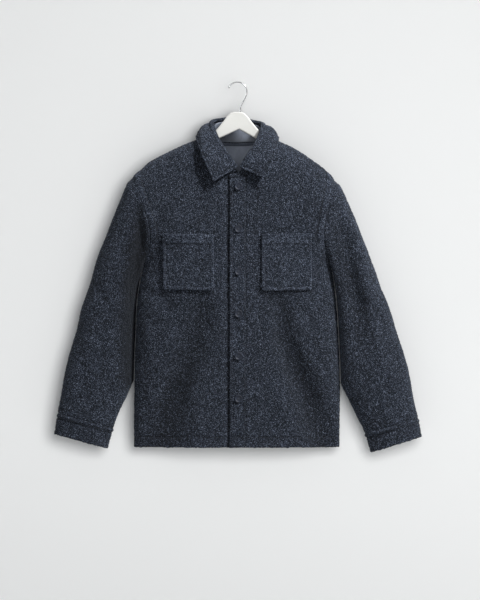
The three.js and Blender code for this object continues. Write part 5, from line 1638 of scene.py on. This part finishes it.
# a lighter copy of the wool for the pockets: painted light on the raised patches
POCKET_WOOL_PAINTED_LIGHTER = boucle("boucle_wool_pocket_painted_lighter", 0.02)
LINING = lining_satin("lining_satin", "b3bccf", "99a2b4")
FACING = lining_satin("facing_satin", "7d8491", "666c78")
TAPE = woven_tape("cotton_tape")
THREADS = spun_thread("sewing_thread")
RESIN = cast_resin("button_resin")
LACQUER = lacquered_wood("white_lacquer")
STEEL = plated_steel("plated_steel")


def finish_piece(piece, material, slot, *nodes):
    piece.data.materials.clear()
    piece.data.materials.append(material)
    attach(piece, "root")
    if nodes:
        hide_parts(*nodes)
    return piece


def cloth_piece(piece, material, slot, node, sewing=()):
    finish_piece(piece, material, slot, node)
    for stitches in sewing:
        finish_piece(stitches, THREADS, slot)


def dress():
    """Every sewn piece and its stitching, then buttons, hook and hanger."""
    for name in SIDES:
        front, body = name + "_front", name + "_sleeve"
        cloth_piece(make_front(name), WOOL, "wool", front)
        cloth_piece(make_sleeve(name), WOOL, "wool", body)
        cloth_piece(make_cuff(name), WOOL, "wool", name + "_cuff", [cuff_stitches(name)])
        cloth_piece(make_pocket(name), POCKET_WOOL_PAINTED_LIGHTER, "wool", name + "_pocket", [pocket_stitches(name)])
    sewing = [body_stitches(), make_buttonholes()]
    cloth_piece(make_placket(), WOOL, "wool", "placket", sewing)
    cloth_piece(make_back(), WOOL, "wool", "back")
    cloth_piece(make_band(), WOOL, "wool", "collar_band")
    cloth_piece(make_leaf(), WOOL, "wool", "collar_leaf", [collar_stitches()])
    cloth_piece(make_facing(), FACING, "lining", "band_facing")
    cloth_piece(make_lining(), LINING, "lining", "back_lining")
    cloth_piece(make_tape(), TAPE, "tape", "neck_tape")
    for i in range(BUTTON_COUNT):
        disc, thread = make_button(i)
        finish_piece(disc, RESIN, "button", f"button_{i + 1}")
        finish_piece(thread, THREADS, "button")
    finish_piece(make_hook(), STEEL, "hook", "hanger_hook")
    hanger = frame["nodes"]["hanger"]
    hanger.data.materials.clear()
    hanger.data.materials.append(LACQUER)


WALL_Y = 66.0
FLOOR_Z = -1600.0
SWEEP = 900.0  # radius of the curve from wall to floor
REACH = 6000.0


def set_stage():
    """Wall and floor as one sheet: straight down, a quarter circle, and straight out to the front."""
    turn = np.linspace(0, np.pi / 2, 40)
    y = np.concatenate([[WALL_Y], WALL_Y - SWEEP * (1 - np.cos(turn)), [-REACH]])
    z = np.concatenate([[REACH / 2], FLOOR_Z + SWEEP * (1 - np.sin(turn)), [FLOOR_Z]])
    grid = points(np.array([-REACH, REACH])[None, :], y[:, None], z[:, None])
    k = np.arange(grid.size // 3).reshape(grid.shape[:2])
    quads = np.stack([k[:-1, :-1], k[1:, :-1], k[1:, 1:], k[:-1, 1:]], -1).reshape(-1, 4)
    mesh = bpy.data.meshes.new("wall_and_floor")
    mesh.from_pydata((grid * MM).reshape(-1, 3).tolist(), [], quads.tolist())
    mesh.polygons.foreach_set("use_smooth", np.ones(len(quads), bool))
    mesh.materials.append(matt_paint("matt_paint"))
    wall = bpy.data.objects.new("wall_and_floor", mesh)
    bpy.context.scene.collection.objects.link(wall)


def area_light(name, at, aim, size, watts, tint="ffffff"):
    data = bpy.data.lights.new(name, "AREA")
    data.shape, data.size, data.energy, data.color = "DISK", size, watts, colour(tint)[:3]
    made = bpy.data.objects.new(name, data)
    bpy.context.scene.collection.objects.link(made)
    made.location = at
    made.rotation_euler = (Vector(aim) - Vector(at)).to_track_quat("-Z", "Y").to_euler()
    return made


def set_light():
    """A wide soft light for the wall alone; for the garment alone a window light from the upper right, a soft
    lamp in front, and one behind, which the wall doesn't stop; and a pale room all round."""
    garment, stage = bpy.data.collections.new("garment"), bpy.data.collections.new("stage")
    for one in bpy.data.objects:
        if one.type == "MESH":
            (stage if one.name == "wall_and_floor" else garment).objects.link(one)
    wash = area_light("wall_wash", (0.85, -4.0, 0.0), (0.0, 0.0, -0.45), 2.4, 123)
    window = area_light("window", (2.3, -1.75, 2.2), (0.0, 0.0, -0.4), 0.9, 225)
    front = area_light("front", (-0.8, -4.2, 0.6), (0.0, 0.0, -0.45), 1.6, 22)
    behind = area_light("behind", (-0.8, 4.2, 0.9), (0.0, 0.0, -0.45), 2.0, 110)
    wash.light_linking.receiver_collection = stage
    window.light_linking.receiver_collection = garment
    front.light_linking.receiver_collection = garment
    behind.light_linking.receiver_collection = garment
    behind.light_linking.blocker_collection = garment
    world = bpy.data.worlds.new("pale_room")
    bpy.context.scene.world = world
    world.use_nodes = True
    world.node_tree.nodes["Background"].inputs["Color"].default_value = colour("f2f3f4")
    world.node_tree.nodes["Background"].inputs["Strength"].default_value = 0.2


CAMERA_AWAY = 8.0
FRAME_HEIGHT = 1.41
FRAME_CENTRE = (0.0063, -0.5104)


def set_camera():
    """Level with the middle of the garment, at the photograph's framing."""
    data = bpy.data.cameras.new("camera")
    data.sensor_width = 36.0
    data.lens = data.sensor_width * CAMERA_AWAY / FRAME_HEIGHT
    made = bpy.data.objects.new("camera", data)
    bpy.context.scene.collection.objects.link(made)
    made.location = (FRAME_CENTRE[0], -CAMERA_AWAY, FRAME_CENTRE[1])
    made.rotation_euler = (math.pi / 2, 0.0, 0.0)
    data.clip_end = 100.0
    bpy.context.scene.camera = made


dress()
set_stage()
set_light()
set_camera()
bpy.context.scene.view_settings.view_transform = "Standard"
